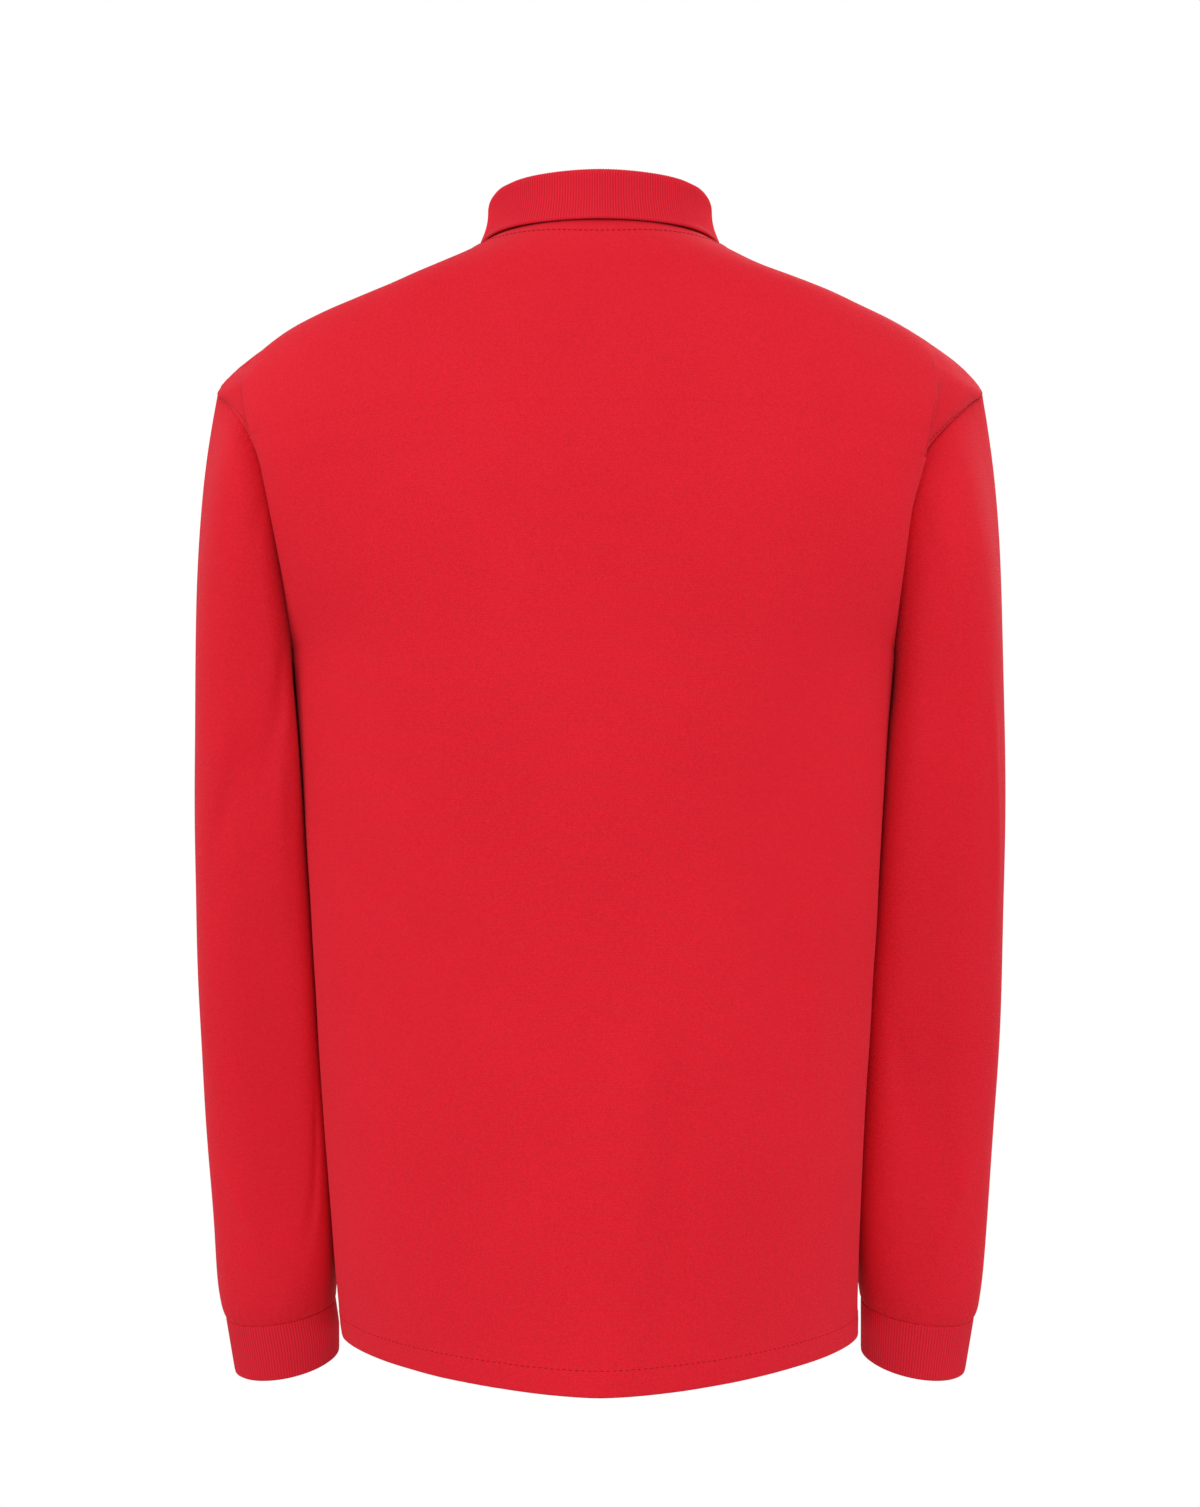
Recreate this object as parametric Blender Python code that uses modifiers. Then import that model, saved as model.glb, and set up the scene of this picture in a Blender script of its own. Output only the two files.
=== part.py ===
"""Long sleeve polo shirt, filled out as if worn, with no wearer inside.

Metres, +Z up. The wearer faces -Y and their left is +X. The origin is on the midline,
at the height of the points where the shoulder seams reach the neck.
"""
import math

import bpy
from mathutils import Vector

MM = 0.001

# Cloth
WALL = 0.0016               # pique body and sleeves
RIB_WALL = 0.0020           # flat-knit collar and cuffs
SEAM_GAP = 0.0003           # between neighbouring pieces
RIB_HEIGHT = 0.00035        # how far a rib stands out of a collar or cuff
RIB_FINENESS = 8            # fine faces for one plain face, two to a rib
COLLAR_SPANS = 66           # plain faces along the collar: 264 ribs, 1.6 mm apart
CUFF_SPANS = 30             # plain faces round a cuff: 120 ribs, 1.6 mm apart
PANEL_COLUMNS = 22          # faces across the back and the front
ARMHOLE_STEPS = 10          # faces along each half of an armhole
SAME_POINT = 1e-5           # points nearer than this are one point of a seam
MITRE_LIMIT = 0.6           # the sharpest crease that a wall follows to its full depth

# Body sections from hem to neck, millimetres: the side edge runs up the side seam, round
# the armhole and along the shoulder seam, and the middle runs up the centre line.
# lean is how far the section's sides sit to the wearer's left, roll is how far the cloth bulges
# past the armhole seam, and power is the roundness of the section (2 is an ellipse).
TORSO_COLUMNS = ("place", "half_width", "back_edge_y", "front_edge_y", "edge_z", "lean",
                 "roll", "back_y", "back_z", "front_y", "front_z", "power")
TORSO_ROWS = (
    ("hem", 168.5, 0, 0, -712, 0.0, 0, 147, -716.5, -132, -716.5, 1.60),
    ("above hem", 170.2, 0, 0, -680, 2.0, 2, 142, -681, -127, -681, 1.76),
    ("hip", 170.6, 0, 0, -610, 4.1, 6, 135, -610, -121, -610, 2.08),
    ("waist", 174.2, 0, 0, -520, 5.6, 8, 130, -520, -118, -520, 2.36),
    ("ribs", 178.6, 0, 0, -420, 5.7, 9, 128, -420, -120, -420, 2.55),
    ("chest", 184.2, 0, 0, -335, 5.8, 9, 129, -335, -125, -335, 2.62),
    ("below armpit", 188.4, 0, 0, -295, 5.8, 8, 130, -295, -126, -296, 2.64),
    ("armpit arch", 190.2, 0, 0, -280, 5.8, 6.5, 130, -279, -127, -281, 2.64),
    ("armpit", 192.6, 0, 0, -271, 5.8, 4.5, 130, -265, -127, -269, 2.62),
    ("armhole 1", 190.8, 20, -20, -262, 5.8, 6, 130, -250, -127, -257, 2.58),
    ("armhole 2", 188.8, 45, -42, -240, 6.0, 9, 130, -226, -127, -238, 2.48),
    ("armhole 3", 192.2, 62, -57, -205, 7.0, 11.5, 128.5, -193, -126, -214, 2.36),
    ("armhole 4", 199.0, 68, -62, -170, 6.6, 11.5, 126, -159, -122, -190, 2.25),
    ("armhole 5", 209.5, 62, -57, -143, 5.5, 6, 121, -130, -117, -168, 2.15),
    ("armhole 6", 225.0, 48, -46, -122, 3.0, 2, 115, -103, -111, -150, 2.10),
    ("armhole 7", 239.0, 25, -25, -107, 1.0, 0, 107, -76, -105, -135, 2.05),
    ("shoulder tip", 250.0, 0, 0, -94.8, 0.0, 0, 99, -51, -98, -121, 2.00),
    ("shoulder 1", 230.0, 0, 0, -74, 0.0, 0, 94, -38, -92, -110, 2.00),
    ("shoulder 2", 200.0, 0, 0, -55, 0.0, 0, 91, -25, -87, -100, 2.00),
    ("shoulder 3", 155.0, 0, 0, -37.8, 0.0, 0, 87.5, -14, -82, -91, 2.00),
    ("shoulder 4", 115.0, 0, 0, -22.7, 0.0, 0, 81.5, -4, -77.5, -84, 2.00),
    ("neck", 75.0, 0, 0, -0.5, 0.0, 0, 74, 4, -73, -77, 2.00),
)
ARMPIT_ROW = 8
TIP_ROW = 16
NECK_ROW = 21
BODY_STEPS = (0, 1, 2, 2.5, 3, 3.5, 4, 4.5, 5, 6, 7, 8)

# Sleeve rings from below the armhole to the cuff seam, millimetres. inner_gap is the
# clearance to the side of the body.
SLEEVE_COLUMNS = ("place", "outer_x", "outer_z", "inner_z", "back_drop", "inner_gap",
                  "half_depth", "middle_y", "power")
SLEEVE_ROWS = (
    ("upper arm", 263.8, -330, -324, 0, 4.6, 76, -9, 2.50),
    ("above elbow", 264.6, -395, -390, 0, 4.5, 70, -17, 2.80),
    ("elbow", 264.7, -460, -455, 0, 4.2, 63, -23, 2.90),
    ("below elbow", 263.2, -527, -522, 0, 3.7, 57, -27, 2.85),
    ("forearm", 259.5, -593, -587, 1, 2.9, 52, -29, 2.65),
    ("lower forearm", 256.0, -648, -641, 2, 2.2, 46, -29, 2.40),
    ("above cuff", 253.7, -685.5, -677.5, 3, 2.6, 41, -28, 2.20),
    ("gathered end", 252.8, -699.8, -690.3, 4, 4.6, 38, -28, 2.08),
    ("cuff seam", 248.6, -705.4, -695.4, 5, 5.5, 34, -28, 2.00),
)
CAP_STEPS = (0.10, 0.24, 0.42, 0.62, 0.82)     # rings between armhole and upper arm
CAP_LEAVE = {"outer": (0.20, -0.98), "back": (0.75, -0.60), "inner": (0.90, -0.30)}
CAP_PULL = (0.90, 0.45)     # how strongly the cap keeps that direction, outer and inner

CUFF_ROWS = (
    ("cuff seam", 248.6, -705.8, -695.8, 5, 5.5, 34, -28, 2.00),
    ("cuff end", 242.9, -740.2, -729.0, 7, 5.4, 28, -28, 2.00),
)

# Collar, millimetres: the centre of its fold and the leaf's edge, from centre back round
# to the front end. The first row mirrors the third, so that the back is round.
COLLAR_COLUMNS = ("angle", "fold_x", "fold_y", "fold_z", "edge_x", "edge_y", "edge_z")
COLLAR_ROWS = (
    (-45, -49.2, 49.2, 29.8, -57.0, 60.5, 2.2),
    (0, 0.0, 69.5, 31.5, 0.0, 85.0, 2.6),
    (45, 49.2, 49.2, 29.8, 57.0, 60.5, 2.2),
    (90, 69.2, 0.0, 25.6, 79.0, 0.0, 1.2),
    (120, 60.8, -34.7, 6.5, 79.5, -37.0, -13.0),
    (150, 36.0, -60.6, -32.0, 66.5, -68.0, -52.0),
    (178.8, 1.9, -70.5, -56.0, 43.0, -88.0, -98.0),
)
COLLAR_END = 178.8          # degrees from centre back to the front end
FOLD_RADIUS = 0.0036
LEAF_HUG = 0.0020           # how far the leaf's middle lies inside a straight line
STAND_HOLLOW = 0.0010       # how far the stand's middle lies inside a straight line
COLLAR_RIBBED_ROWS = (6, 7, 8)      # the leaf, from the fold to its edge

# Placket and buttons
PLACKET_WIDTH = 0.030
PLACKET_LENGTH = 0.150
PLACKET_TOP = 0.004         # below the neck seam
PLACKET_BOTTOM = 0.008      # below the end of the slit
UNDER_SHORTER = 0.004       # how much shorter the inner band is
SLIT_HALF_WIDTH = 0.001
BUTTON_RADIUS = 0.0055
BUTTON_HEIGHT = 0.0025
BUTTON_SPACING = 0.048
FIRST_BUTTON = 0.016        # below the top of the placket
BUTTONS = 3
BUTTON_SIDES = 18
BUTTON_PROFILE = ((0, 0.55), (0.58, 0.55), (0.72, 0.92), (0.88, 1.0), (1.0, 0.72),
                  (1.0, 0.28), (0.9, 0.0), (0, 0))      # shares of its radius and height
UPPER_LIFT = 0.0004         # between the front and the outer band

# Largest folds: a line on a piece seen from behind or in front, its breadth and how far
# the cloth goes in (below 0) or out, millimetres
FOLD_COLUMNS = ("piece", "x0", "z0", "x1", "z1", "breadth", "height")
FOLD_ROWS = (
    ("back", -118, -310, -122, -500, 15, -3.0),
    ("back", -128, -420, -134, -520, 9, 2.0),
    ("back", 95, -322, 78, -425, 12, 2.2),
    ("back", 122, -365, 108, -430, 9, 1.8),
    ("back", 40, -525, 30, -655, 16, 2.4),
    ("back", -26, -525, -22, -660, 18, 2.6),
    ("back", -44, -520, -40, -680, 11, -2.4),
    ("back", 66, -175, 50, -215, 12, -2.0),
    ("front", 60, -300, 40, -470, 16, -2.4),
    ("front", -75, -330, -50, -520, 18, -2.2),
    ("front", 20, -480, 34, -660, 16, 2.4),
    ("front", -60, -500, -44, -650, 13, 2.0),
)

CLOTH_RED = (0.730, 0.018, 0.033, 1.0)
RIB_RED = (0.700, 0.020, 0.036, 1.0)
BUTTON_RED = (0.600, 0.015, 0.026, 1.0)


def named(columns, rows):
    """Rows of a table as dictionaries, numbers kept as written."""
    return [dict(zip(columns, row)) for row in rows]


def between(rows, place, key):
    """A column's value at a place between rows, on a smooth curve through them."""
    last = len(rows) - 1
    low = min(int(place), last - 1)
    t = place - low
    before = rows[max(low - 1, 0)][key]
    start = rows[low][key]
    end = rows[low + 1][key]
    after = rows[min(low + 2, last)][key]
    leave = (end - before) / 2 if low > 0 else end - start
    arrive = (after - start) / 2 if low + 2 <= last else end - start
    return hermite(start, leave, end, arrive, t)


def hermite(start, leave, end, arrive, t):
    """A cubic from start to end with the given speeds at its ends."""
    t2 = t * t
    t3 = t2 * t
    return (start * (2 * t3 - 3 * t2 + 1) + leave * (t3 - 2 * t2 + t)
            + end * (3 * t2 - 2 * t3) + arrive * (t3 - t2))


TORSO = named(TORSO_COLUMNS, TORSO_ROWS)
SLEEVE = named(SLEEVE_COLUMNS, SLEEVE_ROWS)
CUFF = named(SLEEVE_COLUMNS, CUFF_ROWS)
COLLAR = named(COLLAR_COLUMNS, COLLAR_ROWS)
FOLDS = named(FOLD_COLUMNS, FOLD_ROWS)


def power_of(value, exponent):
    """A signed power, for superellipses."""
    return math.copysign(abs(value) ** exponent, value)


def torso_point(panel, across, row):
    """A point of the back or the front: across runs from -1 to 1, row from hem to neck."""
    angle = across * math.pi / 2
    round_to = 2 / between(TORSO, row, "power")
    depth = abs(math.cos(angle)) ** round_to if abs(across) < 1 else 0.0
    bulge = math.sin(angle) ** 4 * math.cos(angle) / 0.286 * between(TORSO, row, "roll")
    x = between(TORSO, row, "half_width") * power_of(math.sin(angle), round_to)
    x += math.copysign(bulge, across) + between(TORSO, row, "lean") * across ** 2
    edge_y = between(TORSO, row, panel + "_edge_y")
    edge_z = between(TORSO, row, "edge_z")
    y = edge_y + (between(TORSO, row, panel + "_y") - edge_y) * depth
    z = edge_z + (between(TORSO, row, panel + "_z") - edge_z) * depth * depth
    y += fold_height(panel, x, z) * (1 - abs(across) ** 4) * (1 if panel == "back" else -1)
    return Vector((x, y, z)) * MM


def fold_height(piece, x, z):
    """How far the folds of a piece push its cloth out at a place, in millimetres."""
    height = 0.0
    for fold in FOLDS:
        if fold["piece"] != piece:
            continue
        run = Vector((fold["x1"] - fold["x0"], fold["z1"] - fold["z0"]))
        step = Vector((x - fold["x0"], z - fold["z0"]))
        along = step.dot(run) / run.length_squared
        aside = (step - run * along).length / fold["breadth"]
        past = max(0.0, abs(along - 0.5) - 0.25) / 0.35
        height += fold["height"] * math.exp(-aside * aside - past * past)
    return height


def torso_rows():
    """The rows of faces from hem to neck."""
    armhole = [ARMPIT_ROW + (TIP_ROW - ARMPIT_ROW) * step / ARMHOLE_STEPS
               for step in range(1, ARMHOLE_STEPS + 1)]
    shoulder = list(range(TIP_ROW + 1, NECK_ROW + 1))
    return list(BODY_STEPS) + armhole + shoulder


def body_side(side, z):
    """Half width of the body at a height below the armpits, on one side, millimetres."""
    low = 0.0
    high = float(ARMPIT_ROW - 1)
    for _ in range(30):
        middle = (low + high) / 2
        if between(TORSO, middle, "edge_z") < z:
            low = middle
        else:
            high = middle
    return between(TORSO, low, "half_width") + side * between(TORSO, low, "lean")


def ring_point(side, row, angle):
    """A point of a sleeve or cuff ring: angle 0 is outside, 180 lies against the body."""
    inner = body_side(side, row["inner_z"]) + row["inner_gap"]
    half = (row["outer_x"] - inner) / 2
    round_to = 2 / row["power"]
    across = power_of(math.cos(angle), round_to)
    x = inner + half + half * across
    y = row["middle_y"] + row["half_depth"] * power_of(math.sin(angle), round_to)
    z = row["inner_z"] + (row["outer_z"] - row["inner_z"]) * (1 + across) / 2
    z -= row["back_drop"] * math.sin(angle)
    return Vector((side * x, y, z)) * MM


def armhole_point(side, angle):
    """The armhole seam: angle 0 is the shoulder tip, 180 the armpit, past that the front."""
    panel = "back" if angle <= math.pi else "front"
    part = angle if angle <= math.pi else 2 * math.pi - angle
    row = TIP_ROW - (TIP_ROW - ARMPIT_ROW) * part / math.pi
    return torso_point(panel, side, row)


def cap_point(side, angle, part):
    """A point of the sleeve cap, part of the way from the armhole to the upper arm."""
    start = armhole_point(side, angle)
    end = ring_point(side, SLEEVE[0], angle)
    inward = (1 - math.cos(angle)) / 2
    names = ("outer", "back") if inward < 0.5 else ("back", "inner")
    blend = inward * 2 % 1 if inward < 1 else 1.0
    out, down = (a + (b - a) * blend for a, b in zip(CAP_LEAVE[names[0]], CAP_LEAVE[names[1]]))
    pull = (end - start).length * (CAP_PULL[0] + (CAP_PULL[1] - CAP_PULL[0]) * inward)
    leave = Vector((side * out, 0.25 * math.sin(angle), down)).normalized() * pull
    arrive = Vector((0, 0, -1)) * (end - start).length
    return hermite(start, leave, end, arrive, part)


def collar_place(angle):
    """The collar table's row at an angle in degrees from centre back."""
    angles = [row["angle"] for row in COLLAR]
    low = max(index for index in range(1, len(angles) - 1) if angles[index] <= angle)
    return low + (angle - angles[low]) / (angles[low + 1] - angles[low])


def collar_profile(turn):
    """Face side of the collar at a turn in degrees, from neck seam over the fold to edge."""
    side = -1 if turn < 0 else 1
    place = collar_place(min(abs(turn), COLLAR_END))
    angle = math.radians(abs(turn))
    panel = "back" if abs(turn) <= 90 else "front"
    across = abs(turn) / 90 if abs(turn) <= 90 else 2 - abs(turn) / 90
    seam = torso_point(panel, across, NECK_ROW)
    outward = Vector((math.sin(angle), math.cos(angle), 0))
    seam = seam - outward * RIB_WALL + Vector((0, 0, SEAM_GAP * 2))
    fold = Vector([between(COLLAR, place, "fold_" + axis) for axis in "xyz"]) * MM
    edge = Vector([between(COLLAR, place, "edge_" + axis) for axis in "xyz"]) * MM
    rise = Vector((0, 0, 1))
    points = [seam]
    for degrees in (180, 130, 90, 50, 0):
        arc = math.radians(degrees)
        points.append(fold + (outward * math.cos(arc) + rise * math.sin(arc)) * FOLD_RADIUS)
    points.insert(1, (seam + points[1]) / 2 - outward * STAND_HOLLOW)
    points.append((points[-1] + edge) / 2 - outward * LEAF_HUG)
    points.append(edge)
    return [Vector((side * point.x, point.y, point.z)) for point in points]


def grid_faces(rows, columns, closed=False, skip=()):
    """Faces of a grid of points, row after row, facing out where rows rise."""
    faces = []
    span = columns if closed else columns - 1
    for row in range(rows - 1):
        for column in range(span):
            if (row, column) in skip:
                continue
            right = (column + 1) % columns
            low = row * columns
            high = low + columns
            faces.append((low + column, low + right, high + right, high + column))
    return faces


class Piece:
    """One cut piece: the points of its outer side and the faces between them.

    Pieces of one group run on smoothly past their seams; two groups meet at a crease.
    """

    def __init__(self, name, group, points, faces, wall):
        self.name = name
        self.group = group
        self.points = points
        self.faces = faces
        self.wall = wall

    def normals(self):
        """The sum of the face normals at each point."""
        sums = [Vector() for _ in self.points]
        for face in self.faces:
            a, b, c, d = (self.points[index] for index in face)
            normal = (c - a).cross(d - b)
            for index in face:
                sums[index] += normal.normalized()
        return sums

    def border(self):
        """The edges that only one face has, as pairs in the face's direction."""
        count = {}
        for face in self.faces:
            for start, end in zip(face, face[1:] + face[:1]):
                key = (min(start, end), max(start, end))
                count.setdefault(key, []).append((start, end))
        return [pairs[0] for pairs in count.values() if len(pairs) == 1]


def place_key(point):
    """A key that points of two pieces share where they meet."""
    return tuple(round(value / SAME_POINT) for value in point)


def sew(pieces):
    """The wall of each piece: shared directions at the seams, and half a gap each side."""
    meetings = {}
    for piece in pieces:
        for point, normal in zip(piece.points, piece.normals()):
            groups = meetings.setdefault(place_key(point), {})
            groups.setdefault(piece.group, {})[piece.name] = normal.normalized()
    seams = {key: seam_direction(groups) for key, groups in meetings.items()}
    return [wall_of(piece, seams) for piece in pieces]


def seam_direction(groups):
    """Where pieces meet: the way out, the mitre's share, and how many pieces there are."""
    sides = [sum(normals.values(), Vector()).normalized() for normals in groups.values()]
    outward = sum(sides, Vector()).normalized()
    mitre = sum(outward.dot(side) for side in sides) / len(sides)
    return outward, max(MITRE_LIMIT, mitre), sum(len(normals) for normals in groups.values())


def wall_of(piece, seams):
    """Outer and inner points and all faces of one piece's wall."""
    border = piece.border()
    ring = {}
    for start, end in border:
        ring.setdefault(start, []).append(end)
        ring.setdefault(end, []).append(start)
    inward = [Vector() for _ in piece.points]
    for face in piece.faces:
        centre = sum((piece.points[index] for index in face), Vector()) / len(face)
        for index in face:
            inward[index] += centre - piece.points[index]
    outer = []
    inner = []
    for index, point in enumerate(piece.points):
        normal, mitre, owners = seams[place_key(point)]
        shift = Vector()
        if index in ring and owners > 1:
            along = piece.points[ring[index][0]] - piece.points[ring[index][-1]]
            shift = inward[index] - normal * inward[index].dot(normal)
            if along.length > 0:
                along.normalize()
                shift -= along * shift.dot(along)
            shift = shift.normalized() * SEAM_GAP * 0.55
        outer.append(point + shift)
        inner.append(point + shift - normal * (piece.wall / mitre))
    count = len(outer)
    faces = list(piece.faces)
    faces += [tuple(index + count for index in reversed(face)) for face in piece.faces]
    faces += [(end, start, start + count, end + count) for start, end in border]
    return outer + inner, faces


def material(name, colour, roughness):
    """A plain finish for the solids."""
    made = bpy.data.materials.new(name)
    made.use_nodes = True
    shader = made.node_tree.nodes["Principled BSDF"]
    shader.inputs["Base Color"].default_value = colour
    shader.inputs["Roughness"].default_value = roughness
    shader.inputs["Metallic"].default_value = 0.0
    made.diffuse_color = colour
    return made


def add_object(name, points, faces, finish, collection):
    """An object in the collection, from points and faces."""
    mesh = bpy.data.meshes.new(name)
    mesh.from_pydata([tuple(point) for point in points], [], faces)
    mesh.update()
    mesh.shade_smooth()
    mesh.set_sharp_from_angle(angle=math.radians(50))
    mesh.materials.append(finish)
    made = bpy.data.objects.new(name, mesh)
    collection.objects.link(made)
    return made


def torso_panel(panel):
    """The back or the front, with a slit for the placket in the front."""
    rows = torso_rows()
    acrosses = [-1 + 2 * column / PANEL_COLUMNS for column in range(PANEL_COLUMNS + 1)]
    skip = set()
    if panel == "front":
        rows = split_at(rows, slit_row())
        acrosses = slit_columns(acrosses)
        middle = len(acrosses) // 2 - 1
        start = rows.index(slit_row())
        skip = {(row, middle) for row in range(start, len(rows) - 1)}
    points = [torso_point(panel, across, row) for row in rows for across in acrosses]
    faces = grid_faces(len(rows), len(acrosses), skip=skip)
    if panel == "back":
        faces = [tuple(reversed(face)) for face in faces]
    return Piece(panel, "body", points, faces, WALL)


def slit_row():
    """The torso row where the slit in the front ends."""
    return row_at_front(torso_point("front", 0, NECK_ROW).z - PLACKET_LENGTH)


def row_at_front(z):
    """The torso row that crosses the front's centre line at a height."""
    low = 0.0
    high = float(NECK_ROW)
    for _ in range(40):
        middle = (low + high) / 2
        if torso_point("front", 0, middle).z < z:
            low = middle
        else:
            high = middle
    return round(low, 6)


def split_at(rows, value):
    """Rows with one moved to a wanted value, the nearest one."""
    nearest = min(rows, key=lambda row: abs(row - value))
    if nearest == ARMPIT_ROW or nearest == TIP_ROW:
        return sorted(rows + [value])
    kept = [row for row in rows if row != nearest or ARMPIT_ROW <= row <= TIP_ROW]
    return sorted(kept + [value])


def slit_columns(acrosses):
    """Columns with the middle one parted to the slit's width."""
    half = 0.0
    while abs(torso_point("front", half, 18).x) < SLIT_HALF_WIDTH:
        half += 0.0005
    return [a for a in acrosses if a < -half * 2] + [-half, half] + [
        a for a in acrosses if a > half * 2]


def sleeve_angles():
    """The angles round a sleeve, those of the armhole's rows."""
    return [math.pi * step / ARMHOLE_STEPS for step in range(2 * ARMHOLE_STEPS)]


def sleeve(name, side):
    """A sleeve from the cuff seam up to the armhole."""
    angles = sleeve_angles()
    rings = [[ring_point(side, row, angle) for angle in angles] for row in reversed(SLEEVE)]
    for part in reversed(CAP_STEPS):
        rings.append([cap_point(side, angle, part) for angle in angles])
    rings.append([armhole_point(side, angle) for angle in angles])
    points = [point for ring in rings for point in ring]
    faces = grid_faces(len(rings), len(angles), closed=True)
    if side < 0:
        faces = [tuple(reversed(face)) for face in faces]
    return Piece(name, "sleeve", points, faces, WALL)


def strip(low, high, spans):
    """Faces between two rows of points, where one row may be several times as fine."""
    low_step = (len(low) - 1) // spans
    high_step = (len(high) - 1) // spans
    if low_step == high_step:
        return [(low[i], low[i + 1], high[i + 1], high[i]) for i in range(len(low) - 1)]
    faces = []
    for span in range(spans):
        bottom = low[span * low_step:(span + 1) * low_step + 1]
        top = high[span * high_step:(span + 1) * high_step + 1]
        faces.append(tuple(bottom + top[::-1]))
    return faces


def ribbed_wall(profile, turns, ribbed, closed):
    """A knitted wall: profile gives the rows of its face side at a turn, ribs on some."""
    plain = [profile(turn) for turn in turns]
    rows = len(plain[0])
    columns = len(turns)
    spans = columns if closed else columns - 1
    face_side = [plain[column][row] for row in range(rows) for column in range(columns)]
    plain_wall = Piece("", "", face_side, grid_faces(rows, columns, closed), RIB_WALL)
    sums = plain_wall.normals()
    normals = [normal.normalized() for normal in sums]
    points = [point - normal * RIB_WALL for point, normal in zip(face_side, normals)]
    inner = [[row * columns + column % columns for column in range(spans + 1)]
             for row in range(rows)]
    outer = []
    for row in range(rows):
        fine = RIB_FINENESS if row in ribbed else 1
        first = len(points)
        for step in range(spans * fine + (0 if closed else 1)):
            column = step // fine
            part = (step % fine) / fine
            here = turns[column]
            after = turns[(column + 1) % columns] if part else here
            if closed and column + 1 == columns and part:
                after = here + turns[1] - turns[0]
            normal = normals[row * columns + column].lerp(
                normals[row * columns + (column + 1) % columns], part)
            point = profile(here + (after - here) * part)[row]
            points.append(point + normal * (RIB_HEIGHT if step % 2 else 0.0))
        count = len(points) - first
        outer.append([first + step % count for step in range(spans * fine + 1)])
    faces = []
    for row in range(rows - 1):
        faces += strip(outer[row], outer[row + 1], spans)
        faces += [tuple(reversed(face)) for face in strip(inner[row], inner[row + 1], spans)]
        if not closed:
            faces.append((outer[row][0], outer[row + 1][0], inner[row + 1][0], inner[row][0]))
            faces.append((outer[row + 1][-1], outer[row][-1], inner[row][-1],
                          inner[row + 1][-1]))
    faces += strip(inner[0], outer[0], spans)
    faces += strip(outer[-1], inner[-1], spans)
    return points, faces


def cuff(side):
    """A ribbed cuff band below the sleeve's end."""
    turns = [side * 2 * math.pi * step / CUFF_SPANS for step in range(CUFF_SPANS)]

    def profile(turn):
        return [ring_point(side, row, turn) for row in reversed(CUFF)]

    return ribbed_wall(profile, turns, ribbed=(0, 1), closed=True)


def collar():
    """The flat-knit collar, its ends meeting at the centre of the front."""
    turns = [COLLAR_END * (2 * step / COLLAR_SPANS - 1) for step in range(COLLAR_SPANS + 1)]
    return ribbed_wall(collar_profile, turns, ribbed=COLLAR_RIBBED_ROWS, closed=False)


def front_normal(across, row):
    """The outward direction of the front at a place."""
    step = 0.01
    right = torso_point("front", across + step, row) - torso_point("front", across - step, row)
    up = torso_point("front", across, row + step) - torso_point("front", across, row - step)
    return right.cross(up).normalized()


def across_at(x, row):
    """Where across the front a row passes a distance from its centre line."""
    centre = torso_point("front", 0, row).x
    low = 0.0
    high = 0.5
    for _ in range(30):
        middle = (low + high) / 2
        if torso_point("front", middle, row).x - centre < abs(x):
            low = middle
        else:
            high = middle
    return math.copysign(low, x)


def placket_band(name, lift, shorter):
    """A band along the slit, from the front's points moved out (or in, below 0)."""
    half_width = PLACKET_WIDTH / 2
    rows = [row for row in split_at(torso_rows(), slit_row()) if row > slit_row() + 0.01]
    top = row_at_front(torso_point("front", 0, NECK_ROW).z - PLACKET_TOP)
    end = row_at_front(torso_point("front", 0, slit_row()).z - PLACKET_BOTTOM + shorter)
    rows = [end, slit_row()] + [row for row in rows if row < top - 0.2] + [top]
    points = []
    columns = (-half_width, -SLIT_HALF_WIDTH, SLIT_HALF_WIDTH, half_width)
    for row in rows:
        for x in columns:
            across = across_at(x, row)
            normal = front_normal(across, row)
            points.append(torso_point("front", across, row) + normal * lift)
    return Piece(name, "placket", points, grid_faces(len(rows), len(columns)), WALL)


def add_button(name, collection, finish):
    """A turned button with a raised rim."""
    mesh = bpy.data.meshes.new(name)
    points = [(r * BUTTON_RADIUS, 0, z * BUTTON_HEIGHT) for r, z in BUTTON_PROFILE]
    mesh.from_pydata(points, [(i, i + 1) for i in range(len(points) - 1)], [])
    mesh.materials.append(finish)
    button = bpy.data.objects.new(name, mesh)
    turn = button.modifiers.new("Turn", "SCREW")
    turn.axis = "Z"
    turn.steps = BUTTON_SIDES
    turn.render_steps = BUTTON_SIDES
    turn.use_merge_vertices = True
    turn.merge_threshold = 0.00001
    turn.use_smooth_shade = True
    collection.objects.link(button)
    return button


def add_buttons(collection, finish):
    """Three buttons down the middle of the placket."""
    top = torso_point("front", 0, NECK_ROW).z - PLACKET_TOP - FIRST_BUTTON
    for number in range(BUTTONS):
        row = row_at_front(top - number * BUTTON_SPACING)
        normal = front_normal(0, row)
        button = add_button(f"button_{number + 1}", collection, finish)
        lift = UPPER_LIFT + WALL + SEAM_GAP
        button.location = torso_point("front", 0, row) + normal * lift
        button.rotation_euler = normal.to_track_quat("Z", "Y").to_euler()


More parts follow.
